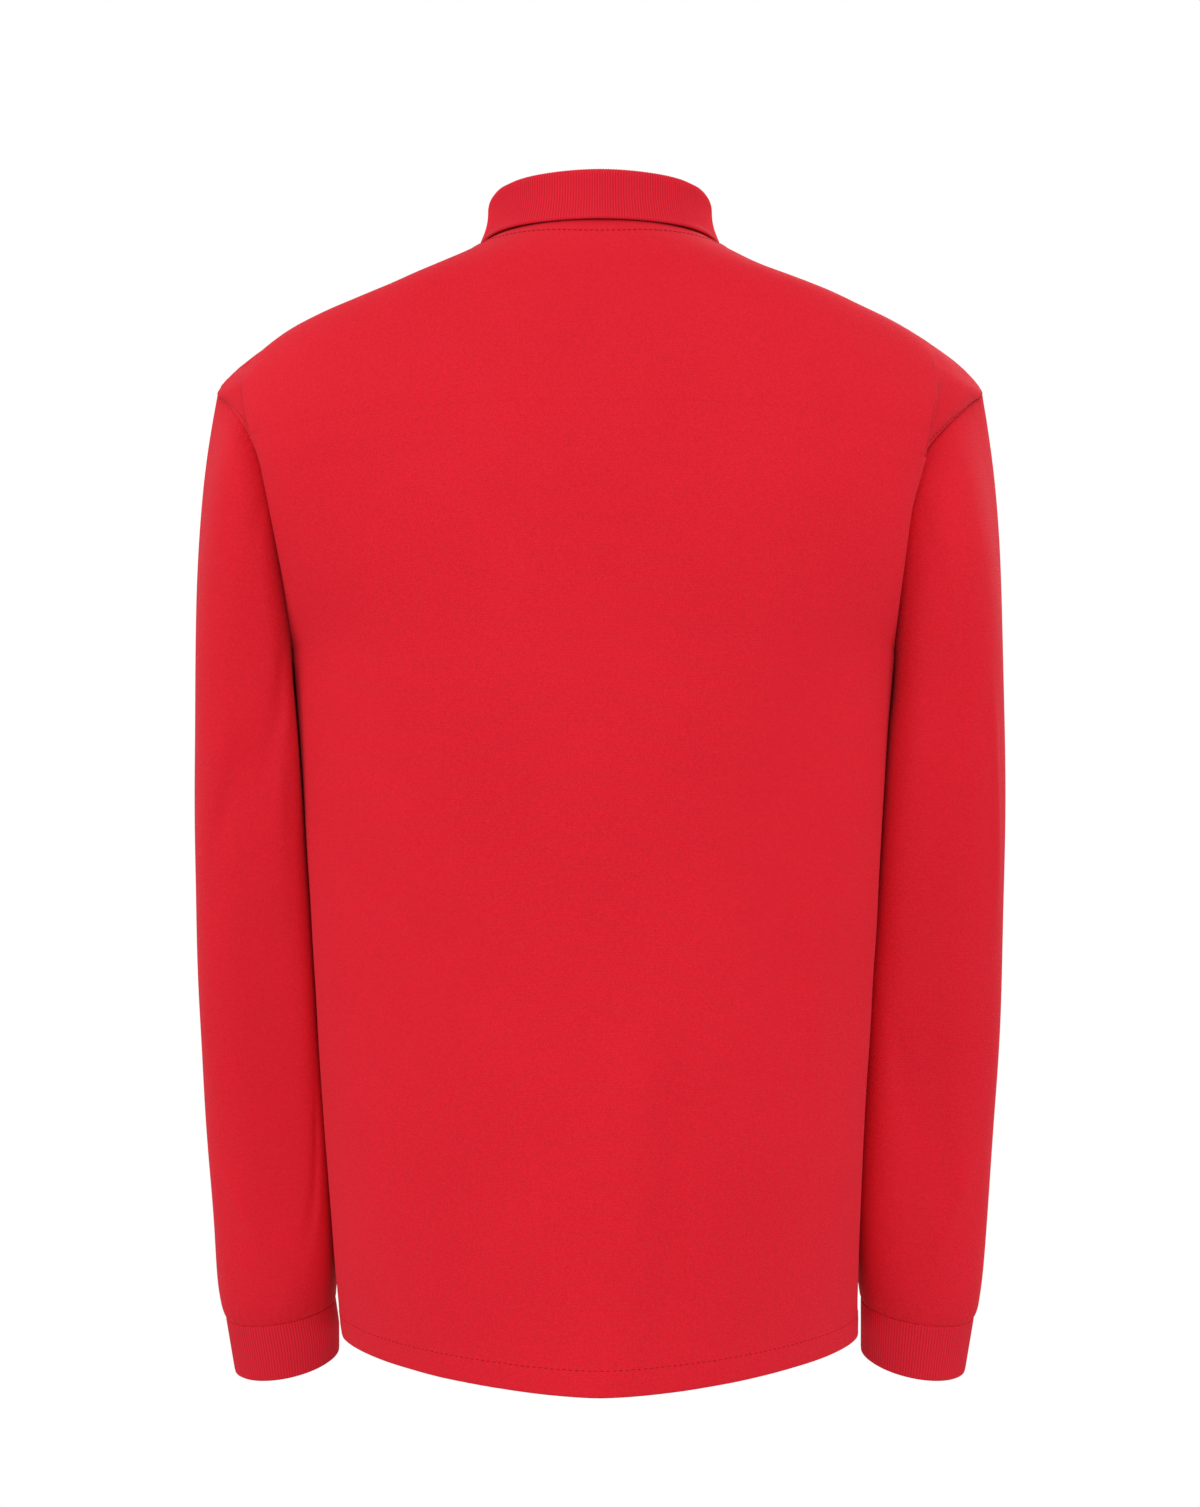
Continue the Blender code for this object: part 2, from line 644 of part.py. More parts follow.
def build():
    """Every piece of the shirt."""
    for old in list(bpy.data.objects):
        bpy.data.objects.remove(old)
    shirt = bpy.data.collections.new("long_sleeve_polo_shirt")
    bpy.context.scene.collection.children.link(shirt)
    pique = material("pique", CLOTH_RED, 0.9)
    rib = material("rib", RIB_RED, 0.9)
    plastic = material("button", BUTTON_RED, 0.4)

    panels = [torso_panel("back"), torso_panel("front"),
              sleeve("sleeve_left", 1), sleeve("sleeve_right", -1)]
    for panel, (points, faces) in zip(panels, sew(panels)):
        add_object(panel.name, points, faces, pique, shirt)
    for name, side in (("cuff_left", 1), ("cuff_right", -1)):
        add_object(name, *cuff(side), rib, shirt)
    add_object("collar", *collar(), rib, shirt)
    upper = placket_band("placket_upper", WALL + UPPER_LIFT, 0)
    under = placket_band("placket_under", -WALL - UPPER_LIFT, UNDER_SHORTER)
    for band in (upper, under):
        points, faces = sew([band])[0]
        add_object(band.name, points, faces, pique, shirt)
    add_buttons(shirt, plastic)


build()
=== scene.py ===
"""Looks of a long sleeve polo shirt, filled out as if worn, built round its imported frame.

Metres, +Z up. The wearer faces -Y and their left is +X. Tables, and every size that has
no other unit beside it, are in millimetres.
"""
import math

import bpy
import numpy as np
from mathutils import Matrix, Vector


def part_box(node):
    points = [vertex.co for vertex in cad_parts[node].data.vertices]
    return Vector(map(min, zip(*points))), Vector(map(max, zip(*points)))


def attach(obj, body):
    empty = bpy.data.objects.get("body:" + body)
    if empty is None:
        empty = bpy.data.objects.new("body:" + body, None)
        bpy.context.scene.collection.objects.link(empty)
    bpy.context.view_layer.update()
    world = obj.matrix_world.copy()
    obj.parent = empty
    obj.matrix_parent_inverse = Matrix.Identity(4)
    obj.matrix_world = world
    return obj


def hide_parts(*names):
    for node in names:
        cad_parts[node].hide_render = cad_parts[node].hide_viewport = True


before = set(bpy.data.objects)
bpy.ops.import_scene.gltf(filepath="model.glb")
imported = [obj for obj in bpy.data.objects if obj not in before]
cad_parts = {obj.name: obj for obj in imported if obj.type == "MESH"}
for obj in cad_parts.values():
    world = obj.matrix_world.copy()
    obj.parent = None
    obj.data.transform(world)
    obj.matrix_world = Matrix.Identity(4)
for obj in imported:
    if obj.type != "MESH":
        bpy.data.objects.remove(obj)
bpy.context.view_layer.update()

MM = 0.001
BODY = "root"

# Camera and studio, metres. The camera is level, behind the shirt, in the photo's frame
CAMERA_DISTANCE = 1.660
CAMERA_HEIGHT = -0.3318
LENS = 60.53                # millimetres
FLOOR_HEIGHT = -1.45
WORLD_LIGHT = 0.835
LIGHTS = (                  # name, place, aim, size and watts
    ("left", (2.2, 1.1, 0.1), (0.1, 0, -0.45), (1.4, 2.0), 13),
    ("right", (-2.2, 1.1, -0.2), (-0.1, 0, -0.5), (1.4, 2.0), 10),
    ("above camera", (0.2, 2.6, 0.5), (0, 0, -0.45), (1.6, 1.6), 13),
    ("fill", (-1.4, -2.6, 1.3), (0, 0, -0.3), (2.0, 2.0), 34),
)

# Cloth
WALL = 0.0016               # metres
RIB_WALL = 0.0020           # metres
RIM = 0.35                  # how far a wall's round rim stands out, in walls
SLEEVE_LENGTH = 640.0
CUFF_LENGTH = 34.0
RIB_PITCH = 1.6             # on the cloth
RIBS_ON_COLLAR = 264
RIBS_ON_CUFF = 120
STEPS_TO_A_RIB = 4
COLLAR_RIB = 0.40           # from a rib to the valley beside it
CUFF_RIB = 0.14
GRID_STEP = 4.4             # between points in the middle of a panel
EDGE_STEP = 0.7             # and beside its seams
EDGE_GROWTH = 0.30          # how fast steps widen away from a seam
SIDE_GROWTH = 0.035         # and from the armholes of the back, where creases run
CREASE_STEP = 1.8           # between rows where the armhole creases start
CREASE_ROW = 12.5           # the torso row where they end

# Sewing
HEM_DEPTH = 15.5
NECK_STITCH = 13.2
ARMHOLE_STITCH = 5.2
STITCH_LENGTH = 2.5
STITCH_GAP = 0.85
THREAD_RADIUS = 0.26
FAINT_THREAD = 0.17         # at the armhole on the wearer's left
FAINT_SEAM = 0.2            # depth of the seam there, as a share of the other one's
EDGE_PULL = {1: -0.40, -1: 0.16}    # how far the cloth draws back from each side's seam
STITCH_SIDES = 6
STITCH_RINGS = ((-0.50, 0.30, -0.9), (-0.40, 0.85, -0.1), (-0.18, 1.0, 0.55), (0.18, 1.0, 0.55),
                (0.40, 0.85, -0.1), (0.50, 0.30, -0.9))     # place, thickness and height

TORSO_COLUMNS = ("place", "half_width", "back_edge_y", "front_edge_y", "edge_z", "lean",
                 "roll", "back_y", "back_z", "front_y", "front_z", "power")
TORSO_ROWS = (
    ("hem", 168.5, 0, 0, -712, 0.0, 0, 147, -716.5, -132, -716.5, 1.60),
    ("above hem", 170.2, 0, 0, -680, 2.0, 2, 142, -681, -127, -681, 1.76),
    ("hip", 170.6, 0, 0, -610, 4.1, 6, 135, -610, -121, -610, 2.08),
    ("waist", 174.2, 0, 0, -520, 5.6, 8, 130, -520, -118, -520, 2.36),
    ("ribs", 178.6, 0, 0, -420, 5.7, 9, 128, -420, -120, -420, 2.55),
    ("chest", 184.2, 0, 0, -335, 5.8, 9, 129, -335, -125, -335, 2.62),
    ("below armpit", 188.4, 0, 0, -295, 5.8, 8, 130, -295, -126, -296, 2.64),
    ("armpit arch", 190.2, 0, 0, -280, 5.8, 6.5, 130, -279, -127, -281, 2.64),
    ("armpit", 192.6, 0, 0, -271, 5.8, 4.5, 130, -265, -127, -269, 2.62),
    ("armhole 1", 190.8, 20, -20, -262, 5.8, 6, 130, -250, -127, -257, 2.58),
    ("armhole 2", 188.8, 45, -42, -240, 6.0, 9, 130, -226, -127, -238, 2.48),
    ("armhole 3", 192.2, 62, -57, -205, 7.0, 11.5, 128.5, -193, -126, -214, 2.36),
    ("armhole 4", 199.0, 68, -62, -170, 6.6, 11.5, 126, -159, -122, -190, 2.25),
    ("armhole 5", 209.5, 62, -57, -143, 5.5, 6, 121, -130, -117, -168, 2.15),
    ("armhole 6", 225.0, 48, -46, -122, 3.0, 2, 115, -103, -111, -150, 2.10),
    ("armhole 7", 239.0, 25, -25, -107, 1.0, 0, 107, -76, -105, -135, 2.05),
    ("shoulder tip", 250.0, 0, 0, -94.8, 0.0, 0, 99, -51, -98, -121, 2.00),
    ("shoulder 1", 230.0, 0, 0, -74, 0.0, 0, 94, -38, -92, -110, 2.00),
    ("shoulder 2", 200.0, 0, 0, -55, 0.0, 0, 91, -25, -87, -100, 2.00),
    ("shoulder 3", 155.0, 0, 0, -37.8, 0.0, 0, 87.5, -14, -82, -91, 2.00),
    ("shoulder 4", 115.0, 0, 0, -22.7, 0.0, 0, 81.5, -4, -77.5, -84, 2.00),
    ("neck", 75.0, 0, 0, -0.5, 0.0, 0, 74, 4, -73, -77, 2.00),
)
ROLL_PEAK = 0.286           # the greatest value of sin ^ 4 x cos, which shapes the roll
ARMPIT_ROW = 8
TIP_ROW = 16
NECK_ROW = 21

SLEEVE_COLUMNS = ("place", "outer_x", "outer_z", "inner_z", "back_drop", "inner_gap",
                  "half_depth", "middle_y", "power")
SLEEVE_ROWS = (
    ("upper arm", 263.8, -330, -324, 0, 4.6, 76, -9, 2.50),
    ("above elbow", 264.6, -395, -390, 0, 4.5, 70, -17, 2.80),
    ("elbow", 264.7, -460, -455, 0, 4.2, 63, -23, 2.90),
    ("below elbow", 263.2, -527, -522, 0, 3.7, 57, -27, 2.85),
    ("forearm", 259.5, -593, -587, 1, 2.9, 52, -29, 2.65),
    ("lower forearm", 256.0, -648, -641, 2, 2.2, 46, -29, 2.40),
    ("above cuff", 253.7, -685.5, -677.5, 3, 2.6, 41, -28, 2.20),
    ("gathered end", 252.8, -699.8, -690.3, 4, 4.6, 38, -28, 2.08),
    ("cuff seam", 248.6, -705.4, -695.4, 5, 5.5, 34, -28, 2.00),
)
CUFF_ROWS = (
    ("cuff seam", 248.6, -705.8, -695.8, 5, 5.5, 34, -28, 2.00),
    ("cuff end", 242.9, -740.2, -729.0, 7, 5.4, 28, -28, 2.00),
)
# Where the sleeve's cap sets off from the seam, outward and up, and how far it is pulled
CAP_LEAVE = {"outer": (0.20, -0.98), "back": (0.75, -0.60), "inner": (0.90, -0.30)}
CAP_PULL = (0.90, 0.45)     # at the outside and at the armpit

# How each sleeve lies against the body at the back: how much closer, how much squarer its
# corner is, how far the corner laps over the body's side, and how the cap bulges backward
PRESS_COLUMNS = ("snug", "corner", "lap", "bulge")
PRESS = {1: dict(zip(PRESS_COLUMNS, (2.4, 5.5, 5.0, 2.5))),
         -1: dict(zip(PRESS_COLUMNS, (0.9, 2.4, 1.0, 0.9)))}

COLLAR_COLUMNS = ("angle", "fold_x", "fold_y", "fold_z", "edge_x", "edge_y", "edge_z")
COLLAR_ROWS = (
    (-45, -49.2, 49.2, 29.8, -55.0, 57.4, 2.6),
    (0, 0.0, 69.5, 31.5, 0.0, 79.6, 3.2),
    (45, 49.2, 49.2, 29.8, 55.0, 57.4, 2.6),
    (90, 69.2, 0.0, 25.6, 79.0, 0.0, 1.2),
    (120, 60.8, -34.7, 6.5, 79.5, -37.0, -13.0),
    (150, 36.0, -60.6, -32.0, 66.5, -68.0, -52.0),
    (178.8, 1.9, -70.5, -56.0, 43.0, -88.0, -98.0),
)
COLLAR_END = 178.8
FOLD_RADIUS = 3.6
LEAF_HUG = 2.0
STAND_HOLLOW = 1.0

# Folds of the body: a line on the cloth, its breadth and its height
FOLD_DEPTH = 1.25           # scales every height
FOLD_COLUMNS = ("piece", "x0", "z0", "x1", "z1", "breadth", "height")
FOLD_ROWS = (
    ("back", -118, -310, -122, -500, 15, -3.0),
    ("back", -128, -420, -134, -520, 9, 2.0),
    ("back", 95, -322, 78, -425, 12, 2.2),
    ("back", 122, -365, 108, -430, 9, 1.8),
    ("back", 40, -525, 30, -655, 16, 2.4),
    ("back", -26, -525, -22, -660, 18, 2.6),
    ("back", -44, -520, -40, -680, 11, -2.4),
    ("back", 66, -175, 50, -215, 12, -2.0),
    ("front", 60, -300, 40, -470, 16, -2.4),
    ("front", -75, -330, -50, -520, 18, -2.2),
    ("front", 20, -480, 34, -660, 16, 2.4),
    ("front", -60, -500, -44, -650, 13, 2.0),
)

# Creases where the back folds over beside its armholes: a line of (x, z) that ends on
# the seam. The cloth outside the line lies lower, and the fold's edge hangs over it.
CREASES = (
    ((-214.0, -90), (-211.6, -104), (-208.2, -118), (-204.6, -132), (-201.8, -143)),
    ((231.0, -80), (228.0, -94), (225.5, -107), (223.0, -118), (221.5, -128)),
)
CREASE_DROP = 4.8
CREASE_OVER = 2.3           # how far the fold's edge hangs over
CREASE_RIDGE = 0.8
CREASE_COLUMN = 12          # the column of the grid that runs along a crease
CREASE_REACH = 70.0         # how far in from a seam its columns are moved for it

# Folds of the sleeves: the angle is 0 on the outside and 90 at the back
SLEEVE_FOLD_COLUMNS = ("piece", "angle0", "z0", "angle1", "z1", "breadth", "height")
SLEEVE_FOLD_ROWS = (
    ("sleeve_left", 120, -270, 75, -380, 12, -2.6),
    ("sleeve_left", 100, -350, 88, -440, 14, 1.8),
    ("sleeve_left", 130, -560, 110, -640, 10, -1.6),
    ("sleeve_left", 60, -610, 95, -670, 8, 1.4),
    ("sleeve_right", 55, -300, 48, -420, 10, 1.8),
    ("sleeve_right", 75, -240, 95, -340, 12, -2.0),
    ("sleeve_right", 100, -520, 80, -620, 12, -1.6),
    ("sleeve_right", 60, -600, 85, -660, 8, 1.4),
)

# Placket and buttons
PLACKET_HALF_WIDTH = 15.0
PLACKET_LENGTH = 150.0
PLACKET_TOP = 4.0
PLACKET_BOTTOM = 8.0
UPPER_LIFT = 0.4            # between a band and the face of the front beside it
UNDER_SHORTER = 4.0
PLACKET_STITCH = 2.2        # from a band's edge to its stitches
PLACKET_BOX = 18.0          # height of the stitched box at its foot
PLACKET_ROW = 10            # a torso row below its foot
BUTTON_RADIUS = 5.5
BUTTON_SIDES = 48
BUTTON_RINGS = ((1.0, -1.2), (1.0, -0.5), (1.0, 0.55), (0.97, 0.95), (0.90, 1.2), (0.82, 1.15),
                (0.74, 0.75), (0.62, 0.30), (0.50, 0.25))    # shares of the radius, heights
HOLE_PLACE = 1.15           # from the button's middle, across and up
HOLE_RADIUS = 0.55
HOLE_SIDES = 14
BUTTON_THREAD = 0.36
THREAD_POINTS = 9           # points along one bar of thread


def named(columns, rows):
    """Rows of a table as dictionaries."""
    return [dict(zip(columns, row)) for row in rows]


TORSO = named(TORSO_COLUMNS, TORSO_ROWS)
SLEEVE = named(SLEEVE_COLUMNS, SLEEVE_ROWS)
CUFF = named(SLEEVE_COLUMNS, CUFF_ROWS)
COLLAR = named(COLLAR_COLUMNS, COLLAR_ROWS)
FOLDS = named(FOLD_COLUMNS, FOLD_ROWS)
SLEEVE_FOLDS = named(SLEEVE_FOLD_COLUMNS, SLEEVE_FOLD_ROWS)


def hermite(start, leave, end, arrive, t):
    """A cubic from start to end with the given speeds at its ends."""
    t2 = t * t
    t3 = t2 * t
    return (start * (2 * t3 - 3 * t2 + 1) + leave * (t3 - 2 * t2 + t)
            + end * (3 * t2 - 2 * t3) + arrive * (t3 - t2))


def between(rows, place, key):
    """A column's values at places between rows, on a smooth curve through them."""
    values = np.array([row[key] for row in rows], float)
    last = len(values) - 1
    place = np.asarray(place, float)
    low = np.clip(np.floor(place).astype(int), 0, last - 1)
    before = values[np.maximum(low - 1, 0)]
    start = values[low]
    end = values[low + 1]
    after = values[np.minimum(low + 2, last)]
    leave = np.where(low > 0, (end - before) / 2, end - start)
    arrive = np.where(low + 2 <= last, (after - start) / 2, end - start)
    return hermite(start, leave, end, arrive, place - low)


def power_of(value, exponent):
    """A signed power, for superellipses."""
    return np.sign(value) * np.abs(value) ** exponent


def unit(vectors):
    """Vectors of length 1."""
    length = np.linalg.norm(vectors, axis=-1, keepdims=True)
    return vectors / np.maximum(length, 1e-9)


def stack(*parts):
    """Coordinates side by side, as points."""
    return np.stack(np.broadcast_arrays(*parts), axis=-1)


def torso_points(panel, across, row):
    """Points of the back or the front: across from -1 to 1, row from hem to neck."""
    across, row = np.broadcast_arrays(np.asarray(across, float), np.asarray(row, float))
    angle = across * math.pi / 2
    round_to = 2 / between(TORSO, row, "power")
    cosine = np.where(np.abs(across) > 1 - 1e-9, 0.0, np.abs(np.cos(angle)))
    depth = cosine ** round_to
    bulge = np.sin(angle) ** 4 * cosine / ROLL_PEAK * between(TORSO, row, "roll")
    x = between(TORSO, row, "half_width") * power_of(np.sin(angle), round_to)
    x = x + np.sign(across) * bulge + between(TORSO, row, "lean") * across ** 2
    edge_y = between(TORSO, row, panel + "_edge_y")
    edge_z = between(TORSO, row, "edge_z")
    y = edge_y + (between(TORSO, row, panel + "_y") - edge_y) * depth
    z = edge_z + (between(TORSO, row, panel + "_z") - edge_z) * depth * depth
    return stack(x, y, z)


def step_places(length, fine_start=True, fine_end=True, widest=GRID_STEP, growth=EDGE_GROWTH):
    """Places from 0 to 1 along a length, close together beside the seams."""
    places = [0.0]
    while places[-1] < length:
        near = min(places[-1] if fine_start else length,
                   length - places[-1] if fine_end else length)
        places.append(places[-1] + min(widest, EDGE_STEP + growth * max(near, 0.0)))
    places = np.array(places)
    return places / places[-1]


def lengths(points, axis=0):
    """Lengths along a line or a grid of points, from its start."""
    steps = np.linalg.norm(np.diff(points, axis=axis), axis=-1)
    start = np.zeros_like(np.take(steps, [0], axis=axis))
    return np.concatenate([start, np.cumsum(steps, axis=axis)], axis=axis)


def taken(values, run, points):
    """Points between others, where a rising run reaches some values."""
    return stack(*(np.interp(values, run, points[:, axis]) for axis in range(3)))


def spread(points, places):
    """Each row of points taken again at places from 0 to 1, for all rows or one by one."""
    along = lengths(points, 1)
    places = np.broadcast_to(places, (len(points), np.shape(places)[-1]))
    return np.array([taken(share * run[-1], run, row)
                     for share, run, row in zip(places, along, points)])


def relax(points, rounds, closed=False):
    """Smooths a grid of points up its columns, its edges kept."""
    points = points.copy()
    normals = grid_normals(points, closed)[1:-1]
    columns = np.arange(points.shape[1])
    pinned = 1 if closed else smooth_step(np.minimum(columns, columns[::-1]), 0, 8)[:, None]
    for _ in range(rounds):
        middle = (points[:-2] + points[2:]) / 2
        lift = ((middle - points[1:-1]) * normals).sum(axis=-1, keepdims=True)
        points[1:-1] += normals * lift * 0.5 * pinned
    return points


def grid_normals(points, closed=False):
    """Directions out of a grid whose rows rise and whose columns run to the left."""
    up = np.gradient(points, axis=0)
    if closed:
        right = (np.roll(points, -1, axis=1) - np.roll(points, 1, axis=1)) / 2
    else:
        right = np.gradient(points, axis=1)
    return unit(np.cross(right, up))


def distance_in(points, axis):
    """Distance of each point from the first and last one along an axis of the grid."""
    along = lengths(points, axis)
    return along, np.take(along, [-1], axis=axis) - along


def bell(distance, breadth):
    """A soft bump, 1 at distance 0."""
    return np.exp(-(distance / breadth) ** 2)


def body_folds(piece, points):
    """How far a panel's folds push its cloth out."""
    height = np.zeros(points.shape[:2])
    for fold in FOLDS:
        if fold["piece"] == piece:
            height += fold_line(points[..., 0], points[..., 2], fold["x0"], fold["z0"],
                                fold["x1"], fold["z1"], fold["breadth"], fold["height"])
    return height


def crease_distances(raw, line):
    """For each row, how far in from its seam a crease lies, and how strong it is there."""
    side = 1 if line[0][0] > 0 else -1
    xs, zs = (np.array(values, float) for values in zip(*line))
    target = np.zeros(len(raw))
    depth = np.zeros(len(raw))
    for index, row in enumerate(raw):
        row = row[::-1] if side > 0 else row
        row = row[:len(row) // 3]
        run = lengths(row)
        outside = row[:, 0] * side - np.abs(np.interp(-row[:, 2], -zs, xs))
        if outside[0] > 0:
            target[index] = np.interp(0.0, -outside, run)
            z = np.interp(target[index], run, row[:, 2])
            depth[index] = smooth_step(-z, -zs[0] - 2, -zs[0] + 30)
    run = lengths(raw[:, -1 if side > 0 else 0])
    active = np.where((target > 1.2) & (ROWS > CREASE_ROW - 1.5) & (ROWS < TIP_ROW + 1.2))[0]
    low, high = active[[0, -1]]
    held = target[np.clip(np.arange(len(raw)), low, high)]
    away = np.maximum(run[low] - run, run - run[high])
    weight = 1 - smooth_step(away, 0, 60)
    return held, weight, np.where((ROWS >= ROWS[low]) & (ROWS <= ROWS[high]), depth, 0)


def crease_places(raw, places):
    """The columns' places row by row, moved so that one runs along each crease."""
    full = np.linalg.norm(np.diff(raw, axis=1), axis=2).sum(axis=1)
    out = np.repeat(places[None, :], len(raw), axis=0) * full[:, None]
    folds = []
    for line in CREASES:
        target, weight, depth = crease_distances(raw, line)
        left = line[0][0] < 0
        for index in range(len(raw)):
            run = out[index] if left else full[index] - out[index][::-1]
            plain = run[CREASE_COLUMN]
            to = plain + (target[index] - plain) * weight[index]
            moved = np.interp(run, [0, plain, CREASE_REACH], [0, to, CREASE_REACH])
            run = np.where(run < CREASE_REACH, moved, run)
            if depth[index] > 0:
                beside = min(0.9, to / 4)
                run[CREASE_COLUMN - 1] = to - beside
                run[CREASE_COLUMN + 1] = min(to + 0.9, run[CREASE_COLUMN + 2] - 0.1)
            out[index] = run if left else full[index] - run[::-1]
        folds.append((left, target, depth))
    return out / full[:, None], folds


def fold_over(surface, normals, fold):
    """Lowers the cloth outside a crease and hangs the fold's edge over it."""
    left, target, depth = fold
    turned = slice(None) if left else slice(None, None, -1)
    surface = surface[:, turned]
    normals = normals[:, turned]
    run = lengths(surface, 1)
    outside = run[:, CREASE_COLUMN:CREASE_COLUMN + 1] - run
    amount = (depth * smooth_step(target, 0.8, 4))[:, None]
    columns = np.arange(surface.shape[1])[None, :]
    low = columns < CREASE_COLUMN
    drop = np.where(low, CREASE_DROP * bell(np.maximum(outside - 3, 0), 22), 0)
    drop *= smooth_step(run, 0.0, 6.0)
    ridge = np.where(low, 0, CREASE_RIDGE * bell(outside, 12))
    over = np.select([columns == CREASE_COLUMN - 1, columns == CREASE_COLUMN,
                      columns == CREASE_COLUMN + 1, columns == CREASE_COLUMN + 2],
                     [-0.5, 1.0, 0.75, 0.3], 0.0) * CREASE_OVER
    out = unit(surface[:, CREASE_COLUMN - 2] - surface[:, CREASE_COLUMN + 2])[:, None]
    surface = surface + normals * ((ridge - drop) * amount)[..., None]
    surface = surface + out * (over * amount)[..., None]
    return surface[:, turned]


def fold_line(a, b, a0, b0, a1, b1, breadth, height):
    """A soft trough or ridge along a line from (a0, b0) to (a1, b1)."""
    run = np.array([a1 - a0, b1 - b0], float)
    square = run @ run
    along = ((a - a0) * run[0] + (b - b0) * run[1]) / square
    aside = np.hypot(a - a0 - run[0] * along, b - b0 - run[1] * along) / breadth
    past = np.maximum(0.0, np.abs(along - 0.5) - 0.25) / 0.35
    return height * np.exp(-aside ** 2 - past ** 2)


def ripple(a, b, seed, size):
    """A gentle unevenness between about -1 and 1, the same each run."""
    random = np.random.default_rng(seed)
    total = np.zeros(np.broadcast(a, b).shape)
    for _ in range(7):
        angle = random.uniform(0, math.pi)
        wave = size * random.uniform(0.7, 1.6)
        phase = random.uniform(0, 2 * math.pi)
        total += np.sin((a * math.cos(angle) + b * math.sin(angle)) * 2 * math.pi / wave + phase)
    return total / 3.2


def row_places():
    """Places of the grid's rows from hem to neck, closer together at both ends."""
    coarse = np.linspace(0, NECK_ROW, 16 * NECK_ROW + 1)
    middle = torso_points("back", 0.0, coarse)
    edge = torso_points("back", 1.0, coarse)
    steps = np.maximum(np.linalg.norm(np.diff(middle, axis=0), axis=1),
                       np.linalg.norm(np.diff(edge, axis=0), axis=1))
    run = np.concatenate([[0.0], np.cumsum(steps)])
    stops = [0, ARMPIT_ROW, CREASE_ROW, TIP_ROW, NECK_ROW]
    rows = [0.0]
    for low, high in zip(stops, stops[1:]):
        start, end = np.interp([low, high], coarse, run)
        widest = CREASE_STEP if low == CREASE_ROW else GRID_STEP
        places = step_places(end - start, fine_start=low == 0, fine_end=high == NECK_ROW,
                             widest=widest)
        rows.extend(np.interp(start + places[1:] * (end - start), run, coarse))
    rows = np.array(rows)
    for stop in stops:
        rows[np.argmin(np.abs(rows - stop))] = stop
    return rows


ROWS = row_places()
ARMHOLE_ROWS = ROWS[(ROWS >= ARMPIT_ROW) & (ROWS <= TIP_ROW)]


def body_grid(panel):
    """The face of the back or the front, its edges kept on the seams."""
    raw = torso_points(panel, np.linspace(-1, 1, 721)[None, :], ROWS[:, None])
    breadth = np.linalg.norm(np.diff(raw[len(ROWS) // 3], axis=0), axis=1).sum()
    growth = SIDE_GROWTH if panel == "back" else EDGE_GROWTH
    places = step_places(breadth, growth=growth)
    folds = []
    if panel == "back":
        places, folds = crease_places(raw, places)
    grid = relax(spread(raw, places), 60)
    return (grid, folds) if panel == "front" else (grid[:, ::-1], folds)


def body_side(side, z):
    """Half width of the body at heights below the armpits, on one side."""
    places = np.linspace(0, ARMPIT_ROW - 1, 200)
    heights = between(TORSO, places, "edge_z")
    widths = between(TORSO, places, "half_width") + side * between(TORSO, places, "lean")
    return np.interp(z, heights, widths)


def ring_points(side, rows, place, angle):
    """Points of sleeve or cuff rings: angle 0 is outside, 180 lies against the body."""
    row = {key: between(rows, place, key) for key in SLEEVE_COLUMNS[1:]}
    press = PRESS[side]
    pressed = 1 - smooth_step(place, 3.0, 7.0) if rows is SLEEVE else 0.0
    lapped = 1 - smooth_step(place, -0.5, 1.5) if rows is SLEEVE else 0.0
    inner = body_side(side, row["inner_z"]) + row["inner_gap"] - press["snug"] * pressed
    half = (row["outer_x"] - inner) / 2
    at_corner = (np.sin(angle) > 0) & (np.cos(angle) < 0)
    round_to = 2 / (row["power"] + np.where(at_corner, press["corner"] * pressed, 0.0))
    across = power_of(np.cos(angle), round_to)
    x = inner + half + half * across
    x = x - np.where(at_corner, press["lap"] * lapped * np.sin(2 * angle) ** 2, 0.0)
    y = row["middle_y"] + row["half_depth"] * power_of(np.sin(angle), round_to)
    z = row["inner_z"] + (row["outer_z"] - row["inner_z"]) * (1 + across) / 2
    return stack(side * x, y, z - row["back_drop"] * np.sin(angle))


def armhole_points(side):
    """The armhole seam and its angles, from the shoulder tip down the back and round."""
    down = ARMHOLE_ROWS[::-1]
    angles = math.pi * (TIP_ROW - down) / (TIP_ROW - ARMPIT_ROW)
    back = torso_points("back", float(side), down)
    front = torso_points("front", float(side), down)[1:-1][::-1]
    points = np.concatenate([back, front])
    return points, np.concatenate([angles, 2 * math.pi - angles[1:-1][::-1]])


def sleeve_grid(side):
    """The face of a sleeve, from the cuff seam up to the armhole."""
    start, angles = armhole_points(side)
    lower = np.linspace(len(SLEEVE) - 1, 0, 120)
    rings = ring_points(side, SLEEVE, lower[:, None], angles[None, :])
    end = rings[-1]
    inward = (1 - np.cos(angles)) / 2
    outer, back, inner = (np.array(CAP_LEAVE[key]) for key in ("outer", "back", "inner"))
    blend = (inward * 2)[:, None]
    leave = np.where(blend < 1, outer + (back - outer) * blend,
                     back + (inner - back) * (blend - 1))
    length = np.linalg.norm(end - start, axis=1)[:, None]
    pull = length * (CAP_PULL[0] + (CAP_PULL[1] - CAP_PULL[0]) * inward[:, None])
    bulge = np.where(np.sin(angles) > 0, PRESS[side]["bulge"], 0.25) * np.sin(angles)
    away = unit(stack(side * leave[:, 0], bulge, leave[:, 1])) * pull
    arrive = np.array([0.0, 0.0, -1.0]) * length
    parts = np.linspace(1, 0, 60)[1:]
    cap = np.array([hermite(start, away, end, arrive, part) for part in parts])
    columns = np.concatenate([rings, cap]).transpose(1, 0, 2)
    grid = spread(columns, step_places(SLEEVE_LENGTH)).transpose(1, 0, 2)
    grid = relax(grid, 40, closed=True)
    return grid if side > 0 else grid[:, ::-1]


